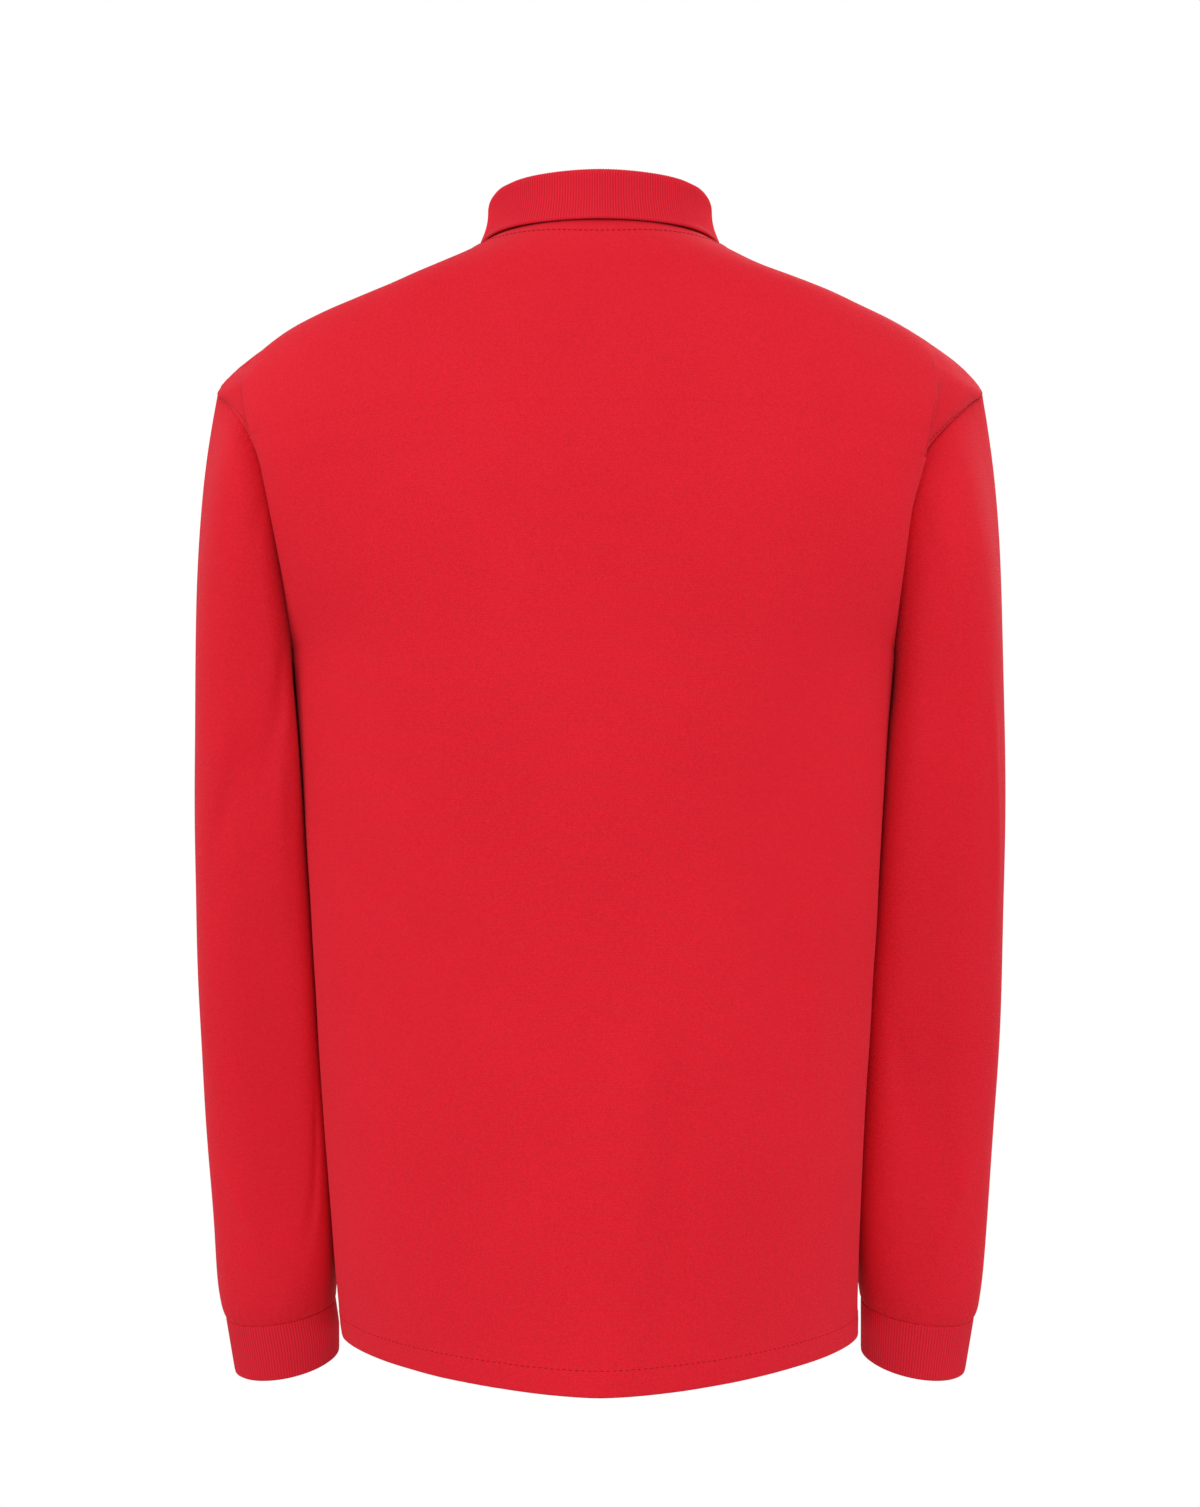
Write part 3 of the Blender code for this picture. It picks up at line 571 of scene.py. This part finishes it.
def cuff_grid(side):
    """The face of a cuff without its ribs."""
    angles = np.linspace(0, 2 * math.pi, RIBS_ON_CUFF * STEPS_TO_A_RIB + 1)[:-1]
    places = (1 - step_places(CUFF_LENGTH))[:, None]
    grid = ring_points(side, CUFF, places, angles[None, :])
    return grid if side > 0 else grid[:, ::-1]


def collar_place(angle):
    """Places in the collar's table at angles in degrees from centre back."""
    table = [row["angle"] for row in COLLAR]
    return np.interp(angle, table, np.arange(len(table)))


def collar_grid():
    """The face of the collar without its ribs, from the neck seam over the fold to the edge."""
    turns = np.linspace(-COLLAR_END, COLLAR_END, RIBS_ON_COLLAR * STEPS_TO_A_RIB + 1)
    size = np.abs(turns)
    side = np.where(turns < 0, -1.0, 1.0)
    place = collar_place(size)
    angle = np.radians(size)
    outward = stack(np.sin(angle), np.cos(angle), 0 * angle)
    rise = np.array([0.0, 0.0, 1.0])
    back = torso_points("back", np.minimum(size, 90) / 90, float(NECK_ROW))
    front = torso_points("front", 2 - np.maximum(size, 90) / 90, float(NECK_ROW))
    seam = np.where((size <= 90)[:, None], back, front) - outward * RIB_WALL / MM + rise * 0.6
    fold = stack(*(between(COLLAR, place, "fold_" + axis) for axis in "xyz"))
    edge = stack(*(between(COLLAR, place, "edge_" + axis) for axis in "xyz"))
    bend = [fold + (outward * math.cos(math.radians(d)) + rise * math.sin(math.radians(d)))
            * FOLD_RADIUS for d in (180, 155, 130, 110, 90, 70, 50, 25, 0)]
    stand = [seam - outward * 2.4 - rise * 3.0, seam - outward * 2.2 - rise * 1.2]
    stand += [seam + (bend[0] - seam) * part - outward * STAND_HOLLOW * 4 * part * (1 - part)
              for part in (0.1, 0.25, 0.4, 0.6, 0.8)]
    leaf = [bend[-1] + (edge - bend[-1]) * part - outward * LEAF_HUG * 4 * part * (1 - part)
            for part in (0.12, 0.25, 0.4, 0.55, 0.7, 0.82, 0.92, 1.0)]
    lines = np.array(stand + bend + leaf).transpose(1, 0, 2)
    places = np.concatenate([np.linspace(0, 1, 29)[:-1], [0.985, 1.0]])
    grid = spread(lines, places).transpose(1, 0, 2)
    return grid * stack(side, 1 + 0 * side, 1 + 0 * side)[None]


def smooth_step(value, low, high):
    """0 below low, 1 above high and an easy slope between."""
    share = np.clip((value - low) / (high - low), 0.0, 1.0)
    return share * share * (3 - 2 * share)


def seam_height(distance, stitch):
    """The cloth beside a seam: a valley, a raised allowance and a dip under the stitches."""
    raised = smooth_step(distance, 0.4, 1.8) * (1 - smooth_step(distance, stitch, stitch + 1.6))
    return 0.30 * raised - 0.35 * bell(distance, 1.0) - 0.38 * bell(distance - stitch, 0.8)


def pucker(along, across, reach, pitch, seed):
    """Small puckers that cross a row of stitches."""
    wander = 1.6 * np.sin(along * 2 * math.pi / 61 + seed)
    wave = np.sin(along * 2 * math.pi / pitch + wander) * (0.7 + 0.3 * np.sin(along / 23 + seed))
    return wave * bell(across, reach)


def body_surface(panel):
    """The finished face of the back or the front, with its folds and seams."""
    grid, folds = body_grid(panel)
    normals = grid_normals(grid)
    below, above = distance_in(grid, 0)
    left, right = distance_in(grid, 1)
    side = np.minimum(left, right)
    rows = ROWS[:, None] + 0 * side
    seed = 11 if panel == "back" else 23
    loose = smooth_step(side, 4, 34) * smooth_step(above, 6, 60)
    height = body_folds(panel, grid) * loose * FOLD_DEPTH
    height += ripple(grid[..., 0], grid[..., 2] * 0.45, seed, 95) * 0.55 * loose
    height += ripple(grid[..., 0], grid[..., 2] * 0.6, seed + 1, 38) * 0.14 * loose
    at_armhole = (smooth_step(rows, ARMPIT_ROW - 0.3, ARMPIT_ROW + 0.4)
                  * (1 - smooth_step(rows, TIP_ROW - 0.6, TIP_ROW)))
    plain_seam = -0.5 * bell(side, 1.1) + 0.1 * bell(side - 2.5, 1.5)
    clear = np.where(grid[..., 0] < 0, 1.0, FAINT_SEAM)
    height += at_armhole * seam_height(side, ARMHOLE_STITCH) * clear
    height += (1 - at_armhole) * plain_seam
    height += at_armhole * 0.16 * pucker(below, side - ARMHOLE_STITCH, 4.5, 8.5, seed)
    height += seam_height(above, NECK_STITCH)
    height += 0.12 * pucker(grid[..., 0], above - NECK_STITCH, 4, 8, seed)
    hem = 0.45 * (1 - smooth_step(below, HEM_DEPTH - 0.4, HEM_DEPTH + 0.9))
    hem -= 0.15 * bell(below - HEM_DEPTH, 0.8)
    hem += 0.22 * pucker(grid[..., 0] + below * 0.8, below - HEM_DEPTH * 0.8, 9, 9.5, seed)
    height += hem - 0.2 * bell(below, 1.0)
    surface = grid + normals * height[..., None]
    for on_right, target, depth in folds:
        surface = fold_over(surface, normals, (not on_right, target, depth))
    for edge, beside in ((0, 1), (-1, -2)):
        pull = EDGE_PULL[1 if grid[0, edge, 0] > 0 else -1]
        surface[:, edge] += unit(grid[:, beside] - grid[:, edge]) * pull
    return surface


def sleeve_surface(name, side):
    """The finished face of a sleeve."""
    grid = sleeve_grid(side)
    normals = grid_normals(grid, closed=True)
    below, above = distance_in(grid, 0)
    angles = armhole_points(side)[1]
    if side < 0:
        angles = angles[::-1]
    degrees = np.degrees(angles)[None, :] + 0 * below
    height = np.zeros_like(below)
    for fold in SLEEVE_FOLDS:
        if fold["piece"] == name:
            height += fold_line(degrees * 1.25, grid[..., 2], fold["angle0"] * 1.25, fold["z0"],
                                fold["angle1"] * 1.25, fold["z1"], fold["breadth"],
                                fold["height"])
    seed = 5 if side > 0 else 8
    turn = np.radians(degrees)
    height += 0.35 * ripple(np.cos(turn) * 60 + grid[..., 2] * 0.2,
                            np.sin(turn) * 60 + grid[..., 2] * 0.5, seed, 80)
    height *= smooth_step(above, 4, 40) * smooth_step(below, 4, 26)
    height *= 0.35 + 0.65 * smooth_step(np.cos(turn), -0.9, -0.4)
    clear = 1.0 if side < 0 else FAINT_SEAM
    height += clear * (0.1 * bell(above - 2.6, 1.5) - 0.5 * bell(above, 1.2))
    height += 0.14 * pucker(turn * 70, above - 3, 5, 9, seed)
    height += -0.45 * bell(below, 1.2) + 0.30 * pucker(turn * 42, below - 4, 7, 7.5, seed)
    surface = grid + normals * height[..., None]
    surface[0] += unit(grid[1] - grid[0]) * EDGE_PULL[-1]
    surface[-1] += unit(grid[-2] - grid[-1]) * EDGE_PULL[side]
    return surface


def ribbed(grid, height, closed, fade):
    """A knitted face: ribs run from seam to edge, and lie flat where fade is 0."""
    step = np.arange(grid.shape[1])
    wave = (1 - np.cos(step * 2 * math.pi / STEPS_TO_A_RIB)) / 2
    return grid + grid_normals(grid, closed) * (wave * height * fade)[..., None]


def shell_arrays(surface, wall, closed, knit):
    """Points and faces of a thin wall with a round rim, and lengths along its cloth."""
    rows, columns = surface.shape[:2]
    normals = grid_normals(surface, closed)
    inner = surface - normals * wall
    middle = (surface + inner) / 2

    def padded(face):
        pad = np.empty((rows + 2, columns if closed else columns + 2, 3))
        inside = slice(None) if closed else slice(1, -1)
        pad[1:-1, inside] = face
        pad[0, inside] = middle[0] + unit(surface[0] - surface[1]) * wall * RIM
        pad[-1, inside] = middle[-1] + unit(surface[-1] - surface[-2]) * wall * RIM
        if not closed:
            pad[1:-1, 0] = middle[:, 0] + unit(surface[:, 0] - surface[:, 1]) * wall * RIM
            pad[1:-1, -1] = middle[:, -1] + unit(surface[:, -1] - surface[:, -2]) * wall * RIM
            for row in (0, -1):
                for column in (0, -1):
                    pad[row, column] = middle[row, column]
        return pad

    outer_pad = padded(surface)
    inner_pad = padded(inner)
    high, wide = outer_pad.shape[:2]
    index = np.arange(high * wide).reshape(high, wide)
    inner_index = index + high * wide
    inner_index[0] = index[0]
    inner_index[-1] = index[-1]
    if not closed:
        inner_index[:, 0] = index[:, 0]
        inner_index[:, -1] = index[:, -1]
    along = lengths(outer_pad)
    around = lengths_round(outer_pad, closed)
    if knit:
        columns = np.arange(around.shape[1]) - (0 if closed else 1)
        around = columns * RIB_PITCH / STEPS_TO_A_RIB + 0 * around
    if closed:
        index = np.concatenate([index, index[:, :1]], axis=1)
        inner_index = np.concatenate([inner_index, inner_index[:, :1]], axis=1)
        along = np.concatenate([along, along[:, :1]], axis=1)
    cloth = np.stack([around, along], axis=-1)
    quads = []
    places = []
    for table, turned in ((index, False), (inner_index, True)):
        corners = (table[:-1, :-1], table[:-1, 1:], table[1:, 1:], table[1:, :-1])
        spots = (cloth[:-1, :-1], cloth[:-1, 1:], cloth[1:, 1:], cloth[1:, :-1])
        order = (3, 2, 1, 0) if turned else (0, 1, 2, 3)
        quads.append(np.stack([corners[i] for i in order], axis=-1).reshape(-1, 4))
        places.append(np.stack([spots[i] for i in order], axis=-2).reshape(-1, 4, 2))
    points = np.concatenate([outer_pad.reshape(-1, 3), inner_pad.reshape(-1, 3)])
    return points, np.concatenate(quads), np.concatenate(places)


def lengths_round(points, closed):
    """Lengths along each row, from its middle."""
    if closed:
        points = np.concatenate([points, points[:, :1]], axis=1)
    along = lengths(points, 1)
    return along - along[:, -1:] / 2


def add_object(name, data):
    """A new object in the scene."""
    made = bpy.data.objects.new(name, data)
    bpy.context.scene.collection.objects.link(made)
    return made


def add_mesh(name, points, quads, places, finish):
    """An object from points in millimetres; places are lengths along the cloth."""
    used = np.unique(quads)
    renumber = np.zeros(len(points), int)
    renumber[used] = np.arange(len(used))
    mesh = bpy.data.meshes.new(name)
    mesh.from_pydata((points[used] * MM).tolist(), [], renumber[quads].tolist())
    layer = mesh.uv_layers.new(name="cloth")
    layer.data.foreach_set("uv", (places * MM).astype(np.float32).ravel())
    mesh.materials.append(finish)
    mesh.shade_smooth()
    mesh.update()
    made = add_object(name, mesh)
    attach(made, BODY)
    return made


def add_shell(name, surface, wall, closed, finish, nodes):
    """A thin shell in place of a CAD node."""
    made = add_mesh(name, *shell_arrays(surface, wall / MM, closed, finish is RIB), finish)
    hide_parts(*nodes)
    return made


def inside_line(surface, distance, axis, last):
    """The line that lies a distance inside an edge of a surface, with its normals."""
    normals = grid_normals(surface)
    if axis == 0:
        surface = surface.transpose(1, 0, 2)
        normals = normals.transpose(1, 0, 2)
    if last:
        surface = surface[:, ::-1]
        normals = normals[:, ::-1]
    run = lengths(surface, 1)
    line, out = (np.array([taken(distance, *pair) for pair in zip(run, grid)])
                 for grid in (surface, normals))
    return line, unit(out)


def stitch_arrays(line, out, length=STITCH_LENGTH, gap=STITCH_GAP, radius=THREAD_RADIUS):
    """Points and faces of a row of stitches along a line on the cloth."""
    run = lengths(line)
    count = max(int(run[-1] / (length + gap)), 1)
    centres = (np.arange(count) + 0.5) * run[-1] / count
    ring = np.array([place * length for place, _, _ in STITCH_RINGS])
    at = centres[:, None] + ring[None, :]
    spot = taken(at, run, line)
    normal = unit(taken(at, run, out))
    forward = unit(spot[:, -1:] - spot[:, :1])
    aside = unit(np.cross(forward + 0 * spot, normal))
    thick = np.array([r for _, r, _ in STITCH_RINGS])[None, :, None, None] * radius
    lift = np.array([h for _, _, h in STITCH_RINGS])[None, :, None] * radius
    turn = np.arange(STITCH_SIDES) * 2 * math.pi / STITCH_SIDES
    round_ = (normal[:, :, None] * np.cos(turn)[:, None] * 0.8
              + aside[:, :, None] * np.sin(turn)[:, None] * 1.1) * thick
    points = (spot + normal * lift)[:, :, None] + round_
    rings = len(STITCH_RINGS)
    index = np.arange(count * rings * STITCH_SIDES).reshape(count, rings, STITCH_SIDES)
    after = np.roll(index, -1, axis=2)
    quads = np.stack([index[:, :-1], after[:, :-1], after[:, 1:], index[:, 1:]], axis=-1)
    return points.reshape(-1, 3), quads.reshape(-1, 4)


def add_stitches(name, rows, finish):
    """One joined mesh of several rows of stitches."""
    points = []
    quads = []
    first = 0
    for row in rows:
        spots, faces = stitch_arrays(*row)
        points.append(spots)
        quads.append(faces + first)
        first += len(spots)
    quads = np.concatenate(quads)
    made = add_mesh(name, np.concatenate(points), quads, np.zeros((len(quads), 4, 2)), finish)
    return made


def placket_grid(lift, shorter):
    """The face of a placket band, following the front."""
    rows = np.linspace(PLACKET_ROW, NECK_ROW, 600)
    middle = torso_points("front", 0.0, rows)
    run = distance_in(middle[:, None], 0)[1][:, 0]
    top = np.interp(-PLACKET_TOP, -run, rows)
    end = np.interp(-(PLACKET_LENGTH + PLACKET_BOTTOM - shorter), -run, rows)
    rows = top + (end - top) * (1 - step_places(PLACKET_LENGTH))
    across = np.linspace(-0.5, 0.5, 401)
    lines = torso_points("front", across[None, :], rows[:, None])
    half = step_places(PLACKET_HALF_WIDTH)
    wanted = np.concatenate([-half[::-1], half[1:]]) * PLACKET_HALF_WIDTH
    grid = np.array([taken(wanted + line[len(line) // 2, 0], line[:, 0], line) for line in lines])
    return grid + grid_normals(grid) * lift


def node(tree, kind, **inputs):
    """A shader node with values on its sockets, by name."""
    made = tree.nodes.new(kind)
    for name, value in inputs.items():
        made.inputs[name.replace("_", " ")].default_value = value
    return made


def maths(tree, operation, a, b=None):
    """A value worked out from two others, each a socket or a number."""
    made = tree.nodes.new("ShaderNodeMath")
    made.operation = operation
    for index, value in enumerate((a, b)):
        if value is None:
            continue
        if isinstance(value, (int, float)):
            made.inputs[index].default_value = value
        else:
            tree.links.new(value, made.inputs[index])
    return made.outputs[0]


def noise(tree, scale, detail, roughness=0.5):
    """An uneven pattern fixed to the piece."""
    place = tree.nodes.new("ShaderNodeTexCoord")
    made = node(tree, "ShaderNodeTexNoise", Scale=scale, Detail=detail, Roughness=roughness)
    tree.links.new(place.outputs["Object"], made.inputs["Vector"])
    return made.outputs["Fac"]


def new_material(name, roughness, specular):
    """A material, its nodes and its shader."""
    made = bpy.data.materials.new(name)
    made.use_nodes = True
    shader = made.node_tree.nodes["Principled BSDF"]
    shader.inputs["Roughness"].default_value = roughness
    shader.inputs["Specular IOR Level"].default_value = specular
    return made, made.node_tree, shader


def mix_colour(tree, share, low, high, shader):
    """The shader's colour, from low to high by share."""
    mix = tree.nodes.new("ShaderNodeMix")
    mix.data_type = "RGBA"
    mix.inputs["A"].default_value = low
    mix.inputs["B"].default_value = high
    tree.links.new(share, mix.inputs["Factor"])
    tree.links.new(mix.outputs["Result"], shader.inputs["Base Color"])


def cloth_material(name, colour, shade, lattice, depth, sheen, nap, ribs=False):
    """Knitted cotton: a lattice of small cells, or ribs, with a fine uneven nap. Its colour is
    darker in the lattice's pits and the ribs' valleys, as painted shade; the nap and mottle are
    random tone.
    """
    made, tree, shader = new_material(name, 0.88, 0.12)
    shader.inputs["Sheen Weight"].default_value = sheen
    shader.inputs["Sheen Roughness"].default_value = 0.45
    shader.inputs["Sheen Tint"].default_value = (1.0, 0.38, 0.46, 1.0)
    cloth = tree.nodes.new("ShaderNodeUVMap")
    cloth.uv_map = "cloth"
    split = tree.nodes.new("ShaderNodeSeparateXYZ")
    tree.links.new(cloth.outputs[0], split.inputs[0])
    wide, high = (maths(tree, "COSINE", maths(tree, "MULTIPLY", split.outputs[axis],
                                              2 * math.pi / lattice[axis])) for axis in (0, 1))
    # Painted shade: cells is 0 in the rib valleys and low in the lattice's pits, where the colour
    # moves to the shade colour.
    if ribs:
        cells = maths(tree, "MULTIPLY", maths(tree, "SUBTRACT", 1.0, wide), 0.5)
    else:
        cells = maths(tree, "ADD", maths(tree, "MULTIPLY", wide, high),
                      maths(tree, "MULTIPLY", high, 0.6))
        cells = maths(tree, "ADD", maths(tree, "MULTIPLY", cells, 0.33), 0.5)
    fuzz = noise(tree, 1900.0, 3.0, 0.6)
    share = maths(tree, "ADD", maths(tree, "MULTIPLY", cells, 0.6),
                  maths(tree, "MULTIPLY", fuzz, 0.4))
    for mottle, amount in ((noise(tree, 9.0, 2.0), 0.5), (noise(tree, 700.0, 2.0, 0.6), nap)):
        uneven = maths(tree, "SUBTRACT", mottle, 0.5)
        share = maths(tree, "ADD", share, maths(tree, "MULTIPLY", uneven, amount))
    # From the shade colour to the cloth's colour: painted shade in the pits and valleys, mixed
    # with random mottle and nap.
    mix_colour(tree, share, shade, colour, shader)
    height = maths(tree, "ADD", cells, maths(tree, "MULTIPLY", fuzz, 0.5))
    bump = node(tree, "ShaderNodeBump", Strength=1.0, Distance=depth)
    tree.links.new(height, bump.inputs["Height"])
    tree.links.new(bump.outputs[0], shader.inputs["Normal"])
    return made


def plain_material(name, colour, roughness, specular=0.5):
    """A smooth finish with a faint mottle."""
    made, tree, shader = new_material(name, roughness, specular)
    darker = tuple(part * 0.86 for part in colour[:3]) + (1.0,)
    mix_colour(tree, noise(tree, 420.0, 2.0), darker, colour, shader)
    return made


# Each shade colour is painted shade in the knit's pits or rib valleys, and also the dark end of
# the random mottle.
PIQUE = cloth_material("pique", colour=(0.815, 0.0160, 0.0340, 1.0),
                       shade=(0.645, 0.0105, 0.0225, 1.0), lattice=(0.0015, 0.0013),
                       depth=0.00014, sheen=0.07, nap=1.5)
RIB = cloth_material("rib", colour=(0.860, 0.0200, 0.0420, 1.0),
                     shade=(0.500, 0.0095, 0.0205, 1.0), lattice=(RIB_PITCH * MM, 0.0011),
                     depth=0.00005, sheen=0.06, nap=0.3, ribs=True)
# The thread is coloured much darker than the cloth, as painted shade where the stitches sink into
# it.
THREAD = plain_material("thread", (0.40, 0.0065, 0.0140, 1.0), 0.80, 0.15)
PLASTIC = plain_material("button", (0.56, 0.0120, 0.0220, 1.0), 0.32)


def add_panel(panel):
    """The back or the front with its own stitches."""
    surface = body_surface(panel)
    made = add_shell(panel, surface, WALL, False, PIQUE, [panel])
    rows = []
    for last in (False, True):
        line, out = inside_line(surface, ARMHOLE_STITCH, 1, last)
        between_ends = (ROWS > ARMPIT_ROW + 0.05) & (ROWS < TIP_ROW - 0.25)
        radius = THREAD_RADIUS if line[0, 0] < 0 else FAINT_THREAD
        rows.append((line[between_ends], out[between_ends], STITCH_LENGTH, STITCH_GAP, radius))
    rows.append(inside_line(surface, HEM_DEPTH, 0, False) + (STITCH_LENGTH, 1.3, 0.20))
    rows.append(inside_line(surface, NECK_STITCH, 0, True) + (STITCH_LENGTH, 0.9, 0.31))
    add_stitches(panel + "_stitches", rows, THREAD)


def add_sleeve(name, side):
    """A sleeve."""
    surface = sleeve_surface(name, side)
    made = add_shell(name, surface, WALL, True, PIQUE, [name])


def add_cuff(name, side):
    """A ribbed cuff."""
    grid = cuff_grid(side)
    fade = smooth_step(lengths(grid), 0.3, 1.6)
    surface = ribbed(grid, CUFF_RIB, True, fade)
    made = add_shell(name, surface, RIB_WALL, True, RIB, [name])


def add_collar():
    """The ribbed collar."""
    grid = collar_grid()
    _, above = distance_in(grid, 0)
    fade = smooth_step(above, 0.6, 6.0) * 0.85 + 0.15 * smooth_step(above, 0.3, 1.0)
    surface = ribbed(grid, COLLAR_RIB, False, fade)
    made = add_shell("collar", surface, RIB_WALL, False, RIB, ["collar"])


def add_placket():
    """The two bands of the placket, and the stitches of the upper one."""
    shown = {}
    for name, lift, shorter in (("placket_upper", WALL / MM + UPPER_LIFT, 0),
                                ("placket_under", -WALL / MM - UPPER_LIFT, UNDER_SHORTER)):
        grid = placket_grid(lift, shorter)
        below = lengths(grid)
        left, right = distance_in(grid, 1)
        edge = np.minimum(np.minimum(left, right), below)
        height = 0.1 - 0.3 * bell(edge - PLACKET_STITCH, 0.7) - 0.25 * bell(edge, 0.8)
        surface = grid + grid_normals(grid) * height[..., None]
        made = add_shell(name, surface, WALL, False, PIQUE, [name])
        shown[name] = surface, below
    surface, below = shown["placket_upper"]
    low = int(np.argmin(np.abs(below[:, 0] - PLACKET_STITCH)))
    rows = []
    for last in (False, True):
        line, out = inside_line(surface, PLACKET_STITCH, 1, last)
        rows.append((line[low:-1], out[low:-1]))
    for height in (PLACKET_STITCH, PLACKET_STITCH + PLACKET_BOX):
        line, out = inside_line(surface, height, 0, False)
        rows.append((line[4:-4], out[4:-4]))
    add_stitches("placket_stitches", rows, THREAD)


def turned_mesh(name, rings, sides, centre=(0.0, 0.0)):
    """A closed form turned round an upright line, from its radii and heights."""
    turn = np.arange(sides) * 2 * math.pi / sides
    points = [stack(centre[0] + np.cos(turn) * radius, centre[1] + np.sin(turn) * radius,
                    height + 0 * turn) for radius, height in rings]
    index = np.arange(len(rings) * sides).reshape(len(rings), sides)
    after = np.roll(index, -1, axis=1)
    faces = np.stack([index[:-1], after[:-1], after[1:], index[1:]], axis=-1).reshape(-1, 4)
    mesh = bpy.data.meshes.new(name)
    mesh.from_pydata(np.concatenate(points).tolist(), [],
                     faces.tolist() + [index[-1].tolist(), index[0][::-1].tolist()])
    return mesh


def with_holes(name):
    """A button's mesh in millimetres, lying flat, with its four holes cut through."""
    rings = [(share * BUTTON_RADIUS, height) for share, height in BUTTON_RINGS]
    solid = add_object(name, turned_mesh(name, rings, BUTTON_SIDES))
    cutters = []
    for x in (-HOLE_PLACE, HOLE_PLACE):
        for y in (-HOLE_PLACE, HOLE_PLACE):
            drill = turned_mesh("drill", ((HOLE_RADIUS, -3.0), (HOLE_RADIUS, 3.0)), HOLE_SIDES,
                                (x, y))
            cutter = add_object("drill", drill)
            cut = solid.modifiers.new("hole", "BOOLEAN")
            cut.operation = "DIFFERENCE"
            cut.solver = "EXACT"
            cut.object = cutter
            cutters.append(cutter)
    graph = bpy.context.evaluated_depsgraph_get()
    mesh = bpy.data.meshes.new_from_object(solid.evaluated_get(graph))
    for made in cutters + [solid]:
        bpy.data.objects.remove(made)
    return mesh


def add_buttons():
    """Buttons with a raised rim and four holes, and the thread that holds them."""
    rows = np.linspace(PLACKET_ROW, NECK_ROW, 400)
    middle = torso_points("front", 0.0, rows) * MM
    plain = with_holes("button")
    right = np.array([1.0, 0.0, 0.0])
    threads = []
    for number in (1, 2, 3):
        low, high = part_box(f"button_{number}")
        centre = np.array((low + high) / 2)
        at = int(np.argmin(np.abs(middle[:, 2] - centre[2])))
        up = unit(middle[at + 1] - middle[at - 1])
        out = unit(np.cross(right, up))
        mesh = plain.copy()
        turned = Matrix((right * MM, up * MM, out * MM)).transposed().to_4x4()
        mesh.transform(Matrix.Translation(centre) @ turned)
        mesh.materials.clear()
        mesh.materials.append(PLASTIC)
        mesh.shade_smooth()
        mesh.set_sharp_from_angle(angle=math.radians(50))
        made = add_object(f"button_{number}_look", mesh)
        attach(made, BODY)
        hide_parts(f"button_{number}")
        for side in (-HOLE_PLACE, HOLE_PLACE):
            bar = np.linspace(-HOLE_PLACE, HOLE_PLACE, THREAD_POINTS)[:, None]
            line = centre / MM + right * side + bar * up + out * 0.30
            threads.append((line, np.repeat(out[None, :], THREAD_POINTS, axis=0),
                            2 * HOLE_PLACE, 0.0, BUTTON_THREAD))
    add_stitches("button_thread", threads, THREAD)


def add_camera():
    """The photo's camera."""
    data = bpy.data.cameras.new("camera")
    data.lens = LENS
    data.sensor_width = 36.0
    camera = add_object("camera", data)
    camera.location = (0.0, CAMERA_DISTANCE, CAMERA_HEIGHT)
    camera.rotation_euler = (math.radians(90), 0, math.radians(180))
    bpy.context.scene.camera = camera


def area_light(name, place, aim, size, power):
    """A soft rectangular light aimed at a point."""
    data = bpy.data.lights.new(name, "AREA")
    data.shape = "RECTANGLE"
    data.size, data.size_y = size
    data.energy = power
    lamp = add_object(name, data)
    lamp.location = place
    lamp.rotation_euler = (Vector(aim) - Vector(place)).to_track_quat("-Z", "Y").to_euler()


def camera_or_light(tree, seen, lit, output):
    """White where it is seen, and dimmer where it lights the cloth."""
    path = tree.nodes.new("ShaderNodeLightPath")
    mix = tree.nodes.new("ShaderNodeMixShader")
    end = tree.nodes.new(output)
    tree.links.new(path.outputs["Is Camera Ray"], mix.inputs[0])
    tree.links.new(lit.outputs[0], mix.inputs[1])
    tree.links.new(seen.outputs[0], mix.inputs[2])
    tree.links.new(mix.outputs[0], end.inputs[0])


def add_studio():
    """A pale floor, white surroundings and soft lights."""
    bpy.ops.mesh.primitive_circle_add(vertices=96, radius=14, fill_type="NGON",
                                      location=(0, 0, FLOOR_HEIGHT))
    floor = bpy.context.object
    floor.name = "floor"
    white = bpy.data.materials.new("floor")
    floor.data.materials.append(white)
    world = bpy.data.worlds.new("studio")
    bpy.context.scene.world = world
    for made in (white, world):
        made.use_nodes = True
        made.node_tree.nodes.clear()
    tree = white.node_tree
    seen = node(tree, "ShaderNodeEmission", Color=(1, 1, 1, 1), Strength=1.0)
    lit = node(tree, "ShaderNodeBsdfDiffuse", Color=(0.5, 0.5, 0.5, 1))
    camera_or_light(tree, seen, lit, "ShaderNodeOutputMaterial")
    tree = world.node_tree
    seen = node(tree, "ShaderNodeBackground", Color=(1, 1, 1, 1), Strength=1.0)
    lit = node(tree, "ShaderNodeBackground", Color=(1, 1, 1, 1), Strength=WORLD_LIGHT)
    camera_or_light(tree, seen, lit, "ShaderNodeOutputWorld")
    for light in LIGHTS:
        area_light(*light)
    bpy.context.scene.view_settings.view_transform = "Standard"


add_panel("back")
add_panel("front")
add_sleeve("sleeve_left", 1)
add_sleeve("sleeve_right", -1)
add_cuff("cuff_left", 1)
add_cuff("cuff_right", -1)
add_collar()
add_placket()
add_buttons()
add_studio()
add_camera()
